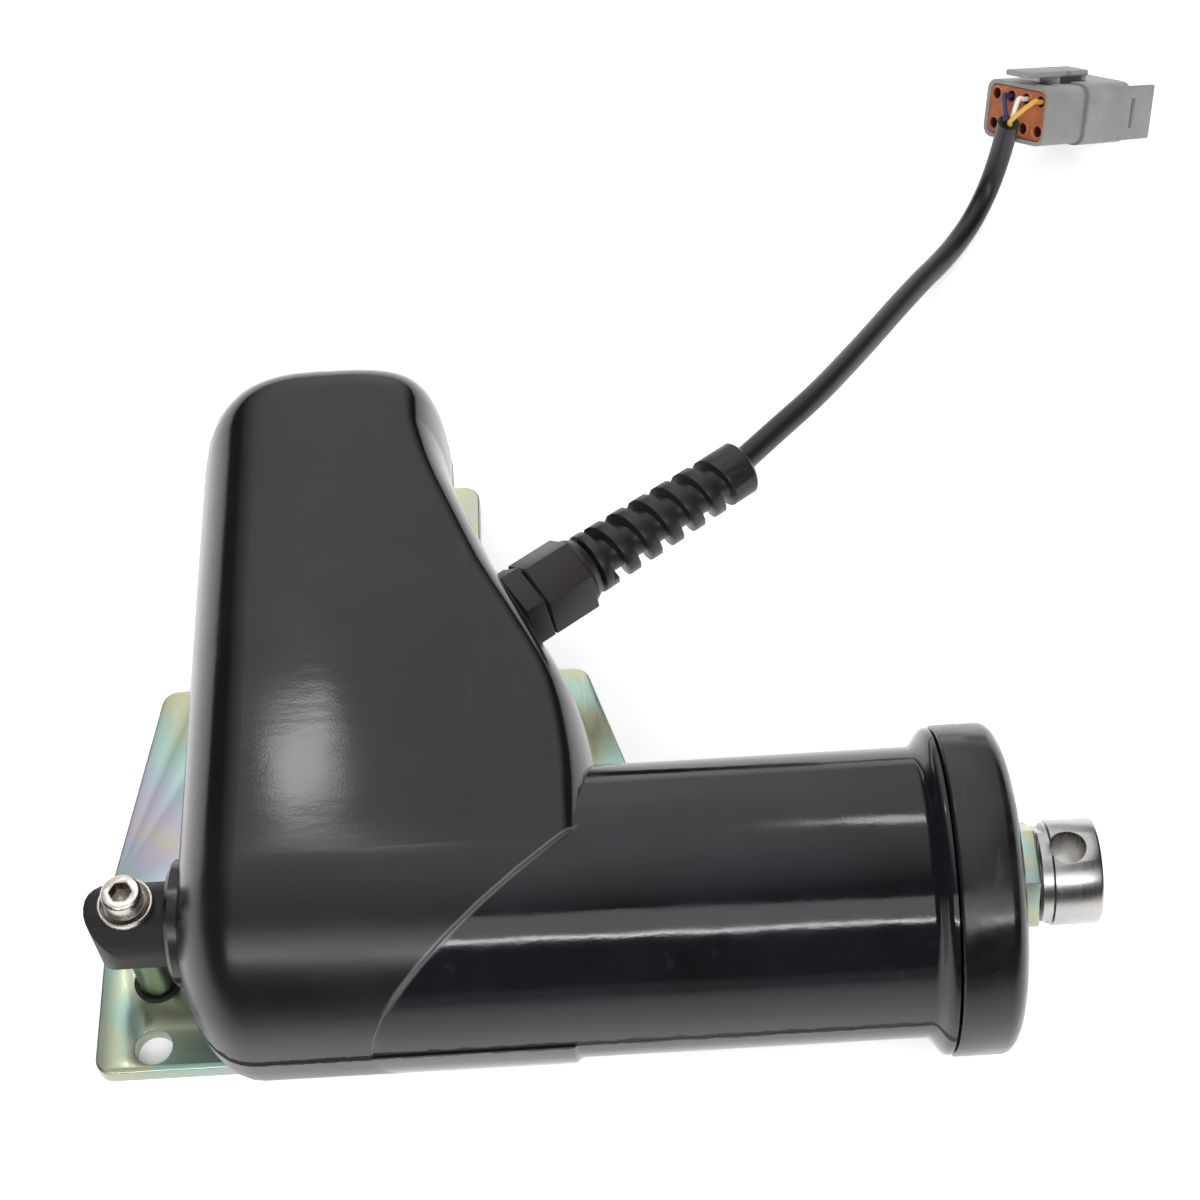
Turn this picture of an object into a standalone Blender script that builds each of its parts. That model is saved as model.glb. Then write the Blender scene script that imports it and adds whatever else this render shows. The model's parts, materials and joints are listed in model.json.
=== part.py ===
"""Right-angle electric throttle actuator on a plated mounting plate.

Metres, +Z up. The origin lies on the rear pivot's axis at the plate's underside.
+X runs along the push rod towards the rod end, +Y along the motor.
"""
from math import acos, asin, copysign, cos, pi, radians, sin, tan

import bmesh
import bpy
from mathutils import Matrix, Vector

# Clearances
GAP = 0.0003                # between pieces that rest on each other
RUNNING_GAP = 0.0003        # round pieces that turn or slide in each other

# Mounting plate
PLATE_THICK = 0.0050
PLATE_LEFT = -0.0150
PLATE_RIGHT = 0.1310
PLATE_FRONT = -0.0256
PLATE_BACK = 0.0903
PLATE_SLANT_START = 0.0270  # where the left edge starts to lean in
PLATE_RIGHT_SLANT = 0.0400  # and the right one
PLATE_BACK_LEFT = -0.0040
PLATE_BACK_RIGHT = 0.1155
PLATE_CORNER = 0.0045
PLATE_EDGE = 0.0006         # rounding of the stamped edges
PLATE_HOLE_RADIUS = 0.0049
PLATE_HOLE_FRONT = -0.0187
TAB_MARGIN = 0.0050         # how far the tab stands out past the motor cover
TAB_BACK = 0.1577
TAB_HOLE_INSET = 0.0100

# Rod axis and pivot
AXIS_HEIGHT = 0.0360
EYE_RADIUS = 0.0107
EYE_INSIDE = 0.0240         # how far the eye reaches into the housing
EYE_COLLAR_RADIUS = 0.0140
EYE_COLLAR_LENGTH = 0.0040
EYE_FLAT_DEPTH = 0.0003
EYE_FLAT_LENGTH = 0.0085    # from the pivot along the bar
POST_RADIUS = 0.0048
POST_FOOT_RADIUS = 0.0034
SCREW_RADIUS = 0.0030
SCREW_REACH = 0.0120        # how deep the screw goes into the post
SCREW_HEAD_RADIUS = 0.0050
SCREW_HEAD_HEIGHT = 0.0060
SOCKET_RADIUS = 0.0029
SOCKET_DEPTH = 0.0032
WASHER_RADIUS = 0.0069
WASHER_THICK = 0.0018
WASHER_RIM = 0.0006
BUSH_WALL = 0.0010

# Housing: one cover over the motor, one over the screw, split at the rod axis
HOUSING_Y = -0.0030         # middle of the screw cover
WALL = 0.0030
COVER_LEFT = 0.0117
COVER_RIGHT = 0.0812
COVER_BACK = 0.1614
COVER_END_DEPTH = 0.0300    # length of the rounded far end
COVER_LEFT_ROUND = 0.0200
COVER_RIGHT_ROUND = 0.0100
COVER_FRONT_ROUND = 0.0366
CREST = 0.0376              # how high the motor cover stands over the rod axis
RIGHT_SQUARENESS = 3.4      # powers of the rounded far end: 2 is an ellipse
LEFT_SQUARENESS = 2.5
SHOULDER_X = 0.1190         # where the flared side reaches furthest
LOWER_SHARE = 0.56          # how much sharper the lower edge is rounded
TUBE_RADIUS = 0.0360
TUBE_START = 0.0450
TUBE_END = 0.1955
SHOULDER_LENGTH = 0.0052
SHOULDER_SWELL = 0.0045     # how much wider the shoulder is than the screw cover
FLAT_LIMIT = 0.996          # share of a round section that its flat underside may reach down
DIAGONAL_START_X = 0.1110
DIAGONAL_START_Y = -0.0006
DIAGONAL_END_X = 0.0600
EYE_BOSS_RADIUS = 0.0160
EYE_BOSS_LENGTH = 0.0015
EYE_BOSS_CHAMFER = 0.0010

# End cap
CAP_JOINT = 0.0006          # groove between the housing's shoulder and the cap
CAP_STEP = 0.0050           # how much wider the cap is than the screw cover
CAP_RIM_LENGTH = 0.0118
CAP_FACE_ROUND = 0.0048
CAP_FACE_INSET = 0.0095     # how far the rounding reaches in across the face
CAP_FLOOR = 0.0015          # height of the cap's flat underside
CAP_POCKET_HALF = 0.0250    # the recess on the inside of the cap
CAP_BORE_MARGIN = 0.0060
CAP_SPIGOT_LENGTH = 0.0090
CAP_LIP = 0.0010            # between guide and wiper, and around the rod

# Rod
ROD_RADIUS = 0.0100
ROD_START = 0.0760
ROD_BORE = 0.0066
STUD_RADIUS = 0.0060
STUD_LENGTH = 0.0085
NUT_FLATS = 0.0240
NUT_THICK = 0.0028
ROD_END_RADIUS = 0.0131
ROD_END_NECK_RADIUS = 0.0125
ROD_END_NECK_LENGTH = 0.0065
ROD_END_LENGTH = 0.0187
ROD_END_FLATS = 0.0220
ROD_END_FLATS_ANGLE = 38.0
ROD_END_HOLE_RADIUS = 0.0045
ROD_END_HOLE_X = 0.2325
GUIDE_RADIUS = 0.0130       # bronze bush in the cap
GUIDE_LENGTH = 0.0120
WIPER_RADIUS = 0.0135
WIPER_LENGTH = 0.0030

# Screw, gears and motor
LEAD_SCREW_RADIUS = 0.0055
LEAD_SCREW_START = 0.0310
LEAD_SCREW_END = 0.1480
DRIVE_NUT_RADIUS = 0.0140
DRIVE_NUT_LENGTH = 0.0060
BEARING_RADIUS = 0.0130
BEARING_WIDTH = 0.0070
BEARING_X = 0.0560
BLOCK_CLEARANCE = 0.0130    # from the cover to the cast block that holds the bearing
BLOCK_OFFSET = 0.0080
BLOCK_TOP = 0.0180
WHEEL_X = 0.0465
GEAR_MODULE = 0.0010
WHEEL_TEETH = 20
WHEEL_WIDTH = 0.0080
WORM_STARTS = 2
WORM_PITCH_RADIUS = 0.0040
WORM_LENGTH = 0.0200
WORM_RINGS = 25
TOOTH_CLEARANCE = 0.00025
MOTOR_CLEARANCE = 0.0014    # between the motor and the cover over it
MOTOR_WALL = 0.0015
MOTOR_START = 0.0250
MOTOR_LENGTH = 0.0620
MOTOR_BELL_LENGTH = 0.0100
SHAFT_RADIUS = 0.0020
BRACKET_HALF = 0.0160       # the cast bracket between worm and motor
BRACKET_BELOW = 0.0200
BRACKET_ABOVE = 0.0120
BRACKET_START = 0.0155

# Cable gland on the flared side
GLAND_ANGLE = 34.7
GLAND_HEIGHT = 0.0400
GLAND_FOOT_X = 0.0968
GLAND_FOOT_Y = 0.0859
GLAND_THREAD_RADIUS = 0.0078
GLAND_THREAD_LENGTH = 0.0130
GLAND_BODY_FLATS = 0.0208
GLAND_BODY_LENGTH = 0.0065
GLAND_NUT_FLATS = 0.0200
GLAND_NUT_LENGTH = 0.0190
RELIEF_RADIUS = 0.0088      # at the nut; it tapers to the end collar
RELIEF_END_RADIUS = 0.0079
RELIEF_CORE_RADIUS = 0.0054
RELIEF_PITCH = 0.0076
RELIEF_TURNS = 6
RELIEF_STEPS = 16           # facets in one turn
RELIEF_RIB = 0.0042
RELIEF_COLLAR = 0.0088

# Cable and plug
CABLE_RADIUS = 0.0035
WIRE_RADIUS = 0.0008
WIRE_SPREAD = 0.0014
PLUG_TURN = 29.8
PLUG_DIP = 25.0             # its nose points down at the ground
PLUG_ROLL = -25.3
PLUG_REAR = (0.2615, 0.2759, 0.0305)
PLUG_WIDTH = 0.0260
PLUG_HEIGHT = 0.0184
PLUG_REAR_LENGTH = 0.0180
PLUG_LENGTH = 0.0390
PLUG_STEP = 0.0006          # how much the front half stands out
PLUG_WALL = 0.0013
SEAL_DEPTH = 0.0060
CAVITY_RADIUS = 0.0018
CAVITY_PITCH = 0.0062
CAVITY_UP = 0.0047
TAB_LENGTH = 0.0115
TAB_THICK = 0.0020
LATCH_WIDTH = 0.0094
LATCH_THICK = 0.0018
MOUTH_DEPTH = 0.0030

# Screws that hold the housing halves together, driven from below
CASE_SCREW_RADIUS = 0.0016
CASE_SCREW_HEAD = 0.0029
CASE_SCREW_HEAD_HEIGHT = 0.0024
CASE_SCREW_LENGTH = 0.0420
CASE_BOSS_RADIUS = 0.0046
FRONT_SCREW_X = 0.0370
FRONT_SCREW_Y = -0.0190
SIDE_SCREW_X = 0.0960
SIDE_SCREW_Y = 0.0420
BACK_SCREW_Y = 0.1200
BACK_LEFT_SCREW_X = 0.0300
BACK_RIGHT_SCREW_X = 0.0640
BOSS_SINK = 0.0016          # from the crest down to the boss's root
FRONT_BOSS_SINK = 0.0069

# Facets
ROUND = 48
SMALL_ROUND = 24
RINGS = 9                   # rows of facets from the split up to the crest
INNER_RINGS = 5

COVER_TOP = AXIS_HEIGHT + CREST
CASE_SCREW_PLACES = [
    (FRONT_SCREW_X, FRONT_SCREW_Y, COVER_TOP - FRONT_BOSS_SINK),
    (SIDE_SCREW_X, SIDE_SCREW_Y, COVER_TOP - BOSS_SINK),
    (BACK_LEFT_SCREW_X, BACK_SCREW_Y, COVER_TOP - BOSS_SINK),
    (BACK_RIGHT_SCREW_X, BACK_SCREW_Y, COVER_TOP - BOSS_SINK),
]
HOUSING_DEPTH = AXIS_HEIGHT - PLATE_THICK - GAP
COVER_FRONT = HOUSING_Y - COVER_FRONT_ROUND
EYE_TOP = AXIS_HEIGHT + EYE_RADIUS - EYE_FLAT_DEPTH
EYE_BOTTOM = AXIS_HEIGHT - EYE_RADIUS + EYE_FLAT_DEPTH
SHOULDER_RADIUS = TUBE_RADIUS + SHOULDER_SWELL
SHOULDER_END = TUBE_END + SHOULDER_LENGTH
CAP_RADIUS = TUBE_RADIUS + CAP_STEP
CAP_DEPTH = AXIS_HEIGHT - CAP_FLOOR
CAP_START = SHOULDER_END + CAP_JOINT
CAP_FACE = CAP_START + CAP_RIM_LENGTH + CAP_FACE_ROUND
WHEEL_RADIUS = GEAR_MODULE * WHEEL_TEETH / 2
MOTOR_HEIGHT = AXIS_HEIGHT + WHEEL_RADIUS + WORM_PITCH_RADIUS
MOTOR_RADIUS = COVER_TOP - WALL - MOTOR_CLEARANCE - MOTOR_HEIGHT
BLOCK_HALF = TUBE_RADIUS - WALL - BLOCK_CLEARANCE


# Plain looks: colour, roughness, metallic
FINISHES = {
    "zinc": ((0.62, 0.70, 0.66), 0.32, 0.9),
    "dark_zinc": ((0.30, 0.34, 0.28), 0.40, 0.9),
    "bright_steel": ((0.68, 0.66, 0.62), 0.25, 1.0),
    "turned_steel": ((0.72, 0.71, 0.70), 0.22, 1.0),
    "eye_black": ((0.02, 0.02, 0.02), 0.5, 0.0),
    "gloss_black": ((0.02, 0.02, 0.022), 0.25, 0.0),
    "satin_black": ((0.05, 0.05, 0.05), 0.45, 0.0),
    "gland_black": ((0.03, 0.03, 0.03), 0.5, 0.0),
    "rubber": ((0.025, 0.027, 0.027), 0.6, 0.0),
    "bronze": ((0.55, 0.38, 0.18), 0.35, 1.0),
    "acetal": ((0.80, 0.78, 0.72), 0.5, 0.0),
    "alloy": ((0.55, 0.55, 0.56), 0.5, 1.0),
    "copper": ((0.60, 0.28, 0.14), 0.4, 1.0),
    "cable_black": ((0.02, 0.02, 0.02), 0.45, 0.0),
    "plug_grey": ((0.42, 0.44, 0.45), 0.5, 0.0),
    "seal_orange": ((0.62, 0.20, 0.07), 0.55, 0.0),
    "wire_white": ((0.85, 0.85, 0.82), 0.45, 0.0),
    "wire_yellow": ((0.75, 0.50, 0.04), 0.45, 0.0),
    "wire_blue": ((0.03, 0.04, 0.12), 0.45, 0.0),
}


def clear_scene():
    """Remove whatever the file already holds."""
    for item in list(bpy.data.objects):
        bpy.data.objects.remove(item, do_unlink=True)


def finish(name, colour, roughness, metallic):
    """A plain material for one sub-part."""
    material = bpy.data.materials.new(name)
    material.use_nodes = True
    shader = material.node_tree.nodes["Principled BSDF"]
    shader.inputs["Base Color"].default_value = (*colour, 1.0)
    shader.inputs["Roughness"].default_value = roughness
    shader.inputs["Metallic"].default_value = metallic
    return material


def place(name, mesh_data, material=None, parent=None, matrix=None, smooth=40.0):
    """Put a finished bmesh into the scene as one named object."""
    bmesh.ops.remove_doubles(mesh_data, verts=mesh_data.verts, dist=1e-6)
    bmesh.ops.recalc_face_normals(mesh_data, faces=mesh_data.faces)
    mesh = bpy.data.meshes.new(name)
    mesh_data.to_mesh(mesh)
    mesh_data.free()
    if matrix is not None:
        mesh.transform(matrix)
    mesh.shade_smooth()
    mesh.set_sharp_from_angle(angle=radians(smooth))
    piece = bpy.data.objects.new(name, mesh)
    bpy.context.scene.collection.objects.link(piece)
    if material is not None:
        mesh.materials.append(material)
    if parent is not None:
        piece.parent = parent
        piece.matrix_parent_inverse = parent.matrix_world.inverted()
    return piece


def guide(name, mesh_data, matrix=None):
    """A cutter or a lump that a Boolean uses and that is not a piece itself."""
    tool = place(name, mesh_data, matrix=matrix)
    tool.hide_render = True
    tool.display_type = "WIRE"
    return tool


def combine(piece, tool, operation):
    """Add one exact Boolean to a piece."""
    step = piece.modifiers.new(tool.name, "BOOLEAN")
    step.operation = operation
    step.solver = "EXACT"
    step.object = tool


def cut(piece, *tools):
    for tool in tools:
        combine(piece, tool, "DIFFERENCE")


def join(piece, *tools):
    for tool in tools:
        combine(piece, tool, "UNION")


def keep(piece, tool):
    combine(piece, tool, "INTERSECT")


def loft(rings, closed_ends=True):
    """Skin a list of rings that have equal point counts."""
    mesh_data = bmesh.new()
    layers = [[mesh_data.verts.new(point) for point in ring] for ring in rings]
    count = len(rings[0])
    for lower, upper in zip(layers, layers[1:]):
        for i in range(count):
            j = (i + 1) % count
            mesh_data.faces.new((lower[i], lower[j], upper[j], upper[i]))
    if closed_ends:
        mesh_data.faces.new(list(reversed(layers[0])))
        mesh_data.faces.new(layers[-1])
    bmesh.ops.remove_doubles(mesh_data, verts=mesh_data.verts, dist=1e-6)
    return mesh_data


def circle(radius, steps, turn=0.0):
    """Points of a circle in the local XY plane."""
    return [
        (radius * cos(turn + 2 * pi * i / steps), radius * sin(turn + 2 * pi * i / steps))
        for i in range(steps)
    ]


def turned(profile, steps=ROUND):
    """Revolve (height, radius) pairs about the local Z axis into a closed solid."""
    return loft([[(x, y, z) for x, y in circle(radius, steps)] for z, radius in profile])


def pipe(outer, inner, z_low, z_high, steps=SMALL_ROUND, chamfer=0.0):
    """A plain bush: a round wall with an open bore and small edge chamfers."""
    mesh_data = bmesh.new()
    profile = [
        (outer - chamfer, z_low), (outer, z_low + chamfer), (outer, z_high - chamfer),
        (outer - chamfer, z_high), (inner, z_high), (inner, z_low),
    ]
    layers = []
    for radius, z in profile:
        layers.append([mesh_data.verts.new((x, y, z)) for x, y in circle(radius, steps)])
    for k in range(len(layers)):
        low, high = layers[k], layers[(k + 1) % len(layers)]
        for i in range(steps):
            j = (i + 1) % steps
            mesh_data.faces.new((low[i], low[j], high[j], high[i]))
    bmesh.ops.remove_doubles(mesh_data, verts=mesh_data.verts, dist=1e-7)
    return mesh_data


def prism(outline, z_low, z_high):
    """Extrude a flat outline along Z."""
    return loft([[(x, y, z_low) for x, y in outline], [(x, y, z_high) for x, y in outline]])


def hexagon(flats, z_low, z_high, chamfer=0.0, turn=0.0):
    """A hex prism whose end corners are trimmed by a cone on both ends."""
    corner = flats / 2 / cos(pi / 6)
    rows = [(z_low, corner - chamfer), (z_low + chamfer * 0.6, corner)]
    rows += [(z_high - chamfer * 0.6, corner), (z_high, corner - chamfer)]
    if chamfer == 0:
        rows = [(z_low, corner), (z_high, corner)]
    return loft([[(x, y, z) for x, y in circle(radius, 6, turn)] for z, radius in rows])


def along(origin, direction, up=(0, 0, 1)):
    """Matrix that turns local +Z to a direction and moves it to an origin."""
    z_axis = Vector(direction).normalized()
    y_axis = Vector(up) - z_axis * z_axis.dot(Vector(up))
    y_axis.normalize()
    x_axis = y_axis.cross(z_axis)
    matrix = Matrix((x_axis, y_axis, z_axis)).transposed().to_4x4()
    matrix.translation = Vector(origin)
    return matrix


def on_rod_axis(x=0.0):
    """Local +Z runs along the rod, local +Y points up."""
    return along((x, 0, AXIS_HEIGHT), (1, 0, 0))


def motor_axis():
    """Local +Z runs along the motor's shaft, away from the rod."""
    return along((WHEEL_X, 0, MOTOR_HEIGHT), (0, 1, 0))


def rounded_outline(corners, radius, steps=5):
    """Round every corner of a polygon with an arc."""
    points = []
    count = len(corners)
    for i in range(count):
        here = Vector(corners[i])
        before = (Vector(corners[i - 1]) - here).normalized()
        after = (Vector(corners[(i + 1) % count]) - here).normalized()
        half = acos(max(-1.0, min(1.0, before.dot(after)))) / 2
        reach = radius / tan(half)
        middle = here + (before + after).normalized() * radius / sin(half)
        start = here + before * reach - middle
        stop = here + after * reach - middle
        sweep = start.angle_signed(stop)
        for k in range(steps + 1):
            turn = -sweep * k / steps
            x = start.x * cos(turn) - start.y * sin(turn)
            y = start.x * sin(turn) + start.y * cos(turn)
            points.append((middle.x + x, middle.y + y))
    return points


def smooth_curve(points, steps):
    """Catmull-Rom curve through the points, with steps spans between two of them."""
    path = [Vector(p) for p in points]
    path = [path[0] * 2 - path[1], *path, path[-1] * 2 - path[-2]]
    curve = []
    for p0, p1, p2, p3 in zip(path, path[1:], path[2:], path[3:]):
        for k in range(steps):
            t = k / steps
            curve.append(0.5 * (2 * p1 + (p2 - p0) * t
                                + (2 * p0 - 5 * p1 + 4 * p2 - p3) * t ** 2
                                + (3 * p1 - p0 - 3 * p2 + p3) * t ** 3))
    curve.append(path[-2])
    return curve


# Housing

def arc_pairs(centre, outer, inner, start, stop, steps, squareness=2.0):
    """Edge points on one ellipse, each with its crest point on a smaller one."""
    pairs = []
    for k in range(steps + 1):
        angle = radians(start + (stop - start) * k / steps)
        across = copysign(abs(cos(angle)) ** (2 / squareness), cos(angle))
        along_y = copysign(abs(sin(angle)) ** (2 / squareness), sin(angle))
        rim = (centre[0] + outer[0] * across, centre[1] + outer[1] * along_y)
        crest = (centre[0] + inner[0] * across, centre[1] + inner[1] * along_y)
        pairs.append((Vector(rim), Vector(crest)))
    return pairs


def flank_pairs():
    """The flared side that carries the gland, from the rod cover back to the motor."""
    back = COVER_BACK - COVER_END_DEPTH
    route = [
        (SHOULDER_X, HOUSING_Y + 0.004), (SHOULDER_X, 0.022), (SHOULDER_X - 0.0035, 0.045),
        (SHOULDER_X - 0.0115, 0.064), (SHOULDER_X - 0.0215, 0.084), (COVER_RIGHT + 0.0095, 0.101),
        (COVER_RIGHT + 0.0035, 0.117), (COVER_RIGHT, back - 0.001),
    ]
    curve = smooth_curve(route, 3)
    pairs = []
    for before, here, after in zip([curve[0]] + curve, curve, curve[1:] + [curve[-1]]):
        forward = (after - before).normalized()
        inward = Vector((-forward.y, forward.x))
        pairs.append((here, here + inward * COVER_RIGHT_ROUND))
    return pairs


def cover_pairs():
    """The motor cover's edge at the split, point by point, with the crest inside it."""
    back = COVER_BACK - COVER_END_DEPTH
    middle = (COVER_LEFT + COVER_RIGHT) / 2
    half = (COVER_RIGHT - COVER_LEFT) / 2
    corner = (SHOULDER_X - COVER_RIGHT_ROUND, HOUSING_Y)
    pairs = arc_pairs(corner, (COVER_RIGHT_ROUND, COVER_FRONT_ROUND), (0, 0), -90, 0, 4)
    pairs += flank_pairs()
    end = (middle, back)
    deep = COVER_END_DEPTH - COVER_LEFT_ROUND
    pairs += arc_pairs(end, (half, COVER_END_DEPTH), (half - COVER_RIGHT_ROUND, deep), 0, 90, 9,
                       RIGHT_SQUARENESS)
    left = arc_pairs(end, (half, COVER_END_DEPTH), (half - COVER_LEFT_ROUND, deep), 90, 180, 9,
                     LEFT_SQUARENESS)
    pairs += left[1:]
    for k in range(1, 5):
        y = back + (HOUSING_Y - back) * k / 5
        pairs.append((Vector((COVER_LEFT, y)), Vector((COVER_LEFT + COVER_LEFT_ROUND, y))))
    front_left = (COVER_LEFT + COVER_LEFT_ROUND, HOUSING_Y)
    pairs += arc_pairs(front_left, (COVER_LEFT_ROUND, COVER_FRONT_ROUND), (0, 0), 180, 270, 10)
    for k in range(1, 5):
        x = front_left[0] + (corner[0] - front_left[0]) * k / 5
        pairs.append((Vector((x, COVER_FRONT)), Vector((x, HOUSING_Y))))
    return pairs


def cover_solid(side, wall=0.0):
    """Half of the motor cover: side 1 rises from the split, side -1 hangs below it."""
    rise = (CREST if side > 0 else HOUSING_DEPTH) - wall
    share = 1.0 if side > 0 else LOWER_SHARE
    rings = []
    edges = []
    for rim, crest in cover_pairs():
        inward = crest - rim
        rim = rim + inward.normalized() * wall
        edges.append((rim, rim + (crest - rim) * share))
    if wall > 0:
        rings.append([(rim.x, rim.y, AXIS_HEIGHT - side * wall) for rim, crest in edges])
    count = RINGS if wall == 0 else INNER_RINGS
    for k in range(count):
        angle = pi / 2 * k / (count - 1)
        z = AXIS_HEIGHT + side * rise * sin(angle)
        ring = []
        for rim, crest in edges:
            point = crest + (rim - crest) * cos(angle)
            ring.append((point.x, point.y, z))
        rings.append(ring)
    return loft(rings)


def set_down(radius, depth):
    """How far a round section is lowered where its flat underside lies deeper than it is round."""
    return max(0.0, depth - radius * FLAT_LIMIT)


def tube_ring(x, radius, side, depth, overlap=0.0):
    """Half section of the screw cover; the lower half is flat underneath."""
    start = asin(overlap / radius)
    steps = ROUND // 4
    if side > 0:
        angles = [-start + (pi + 2 * start) * k / (2 * steps) for k in range(2 * steps + 1)]
        return [(x, HOUSING_Y + radius * cos(angle), AXIS_HEIGHT + radius * sin(angle))
                for angle in angles]
    drop = set_down(radius, depth)
    corner = asin((depth - drop) / radius)
    near = [-start + (corner + start) * k / steps for k in range(steps + 1)]
    points = []
    for angle in near + [pi - angle for angle in reversed(near)]:
        down = radius * sin(angle) + (drop if sin(angle) > 0 else 0.0)
        points.append((x, HOUSING_Y + radius * cos(angle), AXIS_HEIGHT - down))
    return points


def tube_solid(side):
    """Half of the screw cover with the shoulder at its open end."""
    stations = [(TUBE_START, TUBE_RADIUS), (TUBE_END, TUBE_RADIUS)]
    rim = SHOULDER_LENGTH * 0.15
    for k in range(1, 6):
        t = k / 5
        stations.append((TUBE_END + (SHOULDER_LENGTH - rim) * t,
                         TUBE_RADIUS + SHOULDER_SWELL * t * t * (3 - 2 * t)))
    stations.append((SHOULDER_END, SHOULDER_RADIUS))
    rings = []
    for x, radius in stations:
        share = (radius - TUBE_RADIUS) / SHOULDER_SWELL
        depth = HOUSING_DEPTH + share * (CAP_DEPTH - HOUSING_DEPTH)
        rings.append(tube_ring(x, radius, side, depth))
    return loft(rings)


def tube_hollow(side):
    """The space inside half of the screw cover."""
    radius = TUBE_RADIUS - WALL
    depth = HOUSING_DEPTH - WALL
    start = TUBE_START + WALL
    return loft([tube_ring(x, radius, side, depth, 0.002) for x in (start, SHOULDER_END + WALL)])


def trimmed_corner():
    """Everything in front of the diagonal edge, where the low cover leaves the high one."""
    far = SHOULDER_X + 0.02
    front = COVER_FRONT - 0.01
    outline = [
        (DIAGONAL_START_X, DIAGONAL_START_Y), (DIAGONAL_END_X, COVER_FRONT),
        (DIAGONAL_END_X, front), (far, front), (far, DIAGONAL_START_Y),
    ]
    return prism(outline, AXIS_HEIGHT - 0.01, COVER_TOP + 0.01)


def gland_frame():
    """The gland's axis: origin on the flared side, +Z outwards."""
    angle = radians(GLAND_ANGLE)
    return along((GLAND_FOOT_X, GLAND_FOOT_Y, GLAND_HEIGHT), (cos(angle), sin(angle), 0))


def gland_point(distance):
    """A place on the gland's axis, measured from its foot."""
    return gland_frame() @ Vector((0, 0, distance))


def housing(name, side, material, parent):
    """One half of the shell, hollow, with the eye's boss and the openings."""
    word = "upper" if side > 0 else "lower"
    shell = place(name, cover_solid(side), material, parent)
    if side > 0:
        cut(shell, guide("diagonal_trim", trimmed_corner()))
    boss_start = COVER_LEFT - EYE_BOSS_LENGTH
    boss = turned([(boss_start, EYE_BOSS_RADIUS - EYE_BOSS_CHAMFER),
                   (boss_start + EYE_BOSS_CHAMFER, EYE_BOSS_RADIUS),
                   (COVER_LEFT + EYE_INSIDE / 2, EYE_BOSS_RADIUS)], 32)
    boss_guide = guide(word + "_eye_boss", boss, on_rod_axis())
    low, high = (AXIS_HEIGHT, COVER_TOP + CREST) if side > 0 else (-AXIS_HEIGHT, AXIS_HEIGHT - GAP)
    left, right = -COVER_BACK, CAP_FACE + COVER_BACK
    front, back = COVER_FRONT - COVER_BACK, 2 * COVER_BACK
    half_space = prism([(left, front), (right, front), (right, back), (left, back)], low, high)
    join(shell, guide(word + "_screw_cover", tube_solid(side)), boss_guide)
    cut(shell, guide(word + "_motor_space", cover_solid(side, WALL)),
        guide(word + "_screw_space", tube_hollow(side)))
    eye_hole = turned([(COVER_LEFT - EYE_INSIDE, EYE_RADIUS + GAP),
                       (COVER_LEFT + EYE_INSIDE, EYE_RADIUS + GAP)], 32)
    collar_start = COVER_LEFT + WALL
    collar_seat = turned([(collar_start, EYE_COLLAR_RADIUS + GAP),
                          (collar_start + EYE_COLLAR_LENGTH + 2 * GAP, EYE_COLLAR_RADIUS + GAP)], 32)
    cut(shell, guide(word + "_eye_hole", eye_hole, on_rod_axis()),
        guide(word + "_collar_seat", collar_seat, on_rod_axis()))
    keep(shell, guide(word + "_half_space", half_space))
    return shell


def case_screws(material, upper, lower, parent):
    """Four screws in bosses inside the shell, with the holes that take them."""
    floor = AXIS_HEIGHT - HOUSING_DEPTH
    head_end = floor + 0.0010 + CASE_SCREW_HEAD_HEIGHT
    drill = CASE_SCREW_RADIUS + GAP
    for i, (x, y, boss_top) in enumerate(CASE_SCREW_PLACES):
        spot = Matrix.Translation((x, y, 0))
        number = str(i + 1)
        low = turned([(floor + 0.0012, CASE_BOSS_RADIUS), (AXIS_HEIGHT - GAP, CASE_BOSS_RADIUS)], 16)
        high = turned([(AXIS_HEIGHT, CASE_BOSS_RADIUS - 0.0014), (boss_top, CASE_BOSS_RADIUS - 0.0014)], 16)
        join(lower, guide("low_boss_" + number, low, spot))
        join(upper, guide("high_boss_" + number, high, spot))
        sunk = turned([(floor - 0.01, CASE_SCREW_HEAD + GAP), (head_end + GAP, CASE_SCREW_HEAD + GAP),
                       (head_end + GAP, drill), (AXIS_HEIGHT + 0.001, drill)], 16)
        blind = turned([(AXIS_HEIGHT - 0.001, drill), (floor + CASE_SCREW_LENGTH + 0.003, drill)], 16)
        cut(lower, guide("low_hole_" + number, sunk, spot))
        cut(upper, guide("high_hole_" + number, blind, spot))
        place("case_screw_" + number, turned([
            (floor + 0.0010, CASE_SCREW_HEAD - 0.0003), (floor + 0.0013, CASE_SCREW_HEAD),
            (head_end, CASE_SCREW_HEAD), (head_end, CASE_SCREW_RADIUS),
            (floor + CASE_SCREW_LENGTH, CASE_SCREW_RADIUS)], 16), material, parent, spot)


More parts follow.
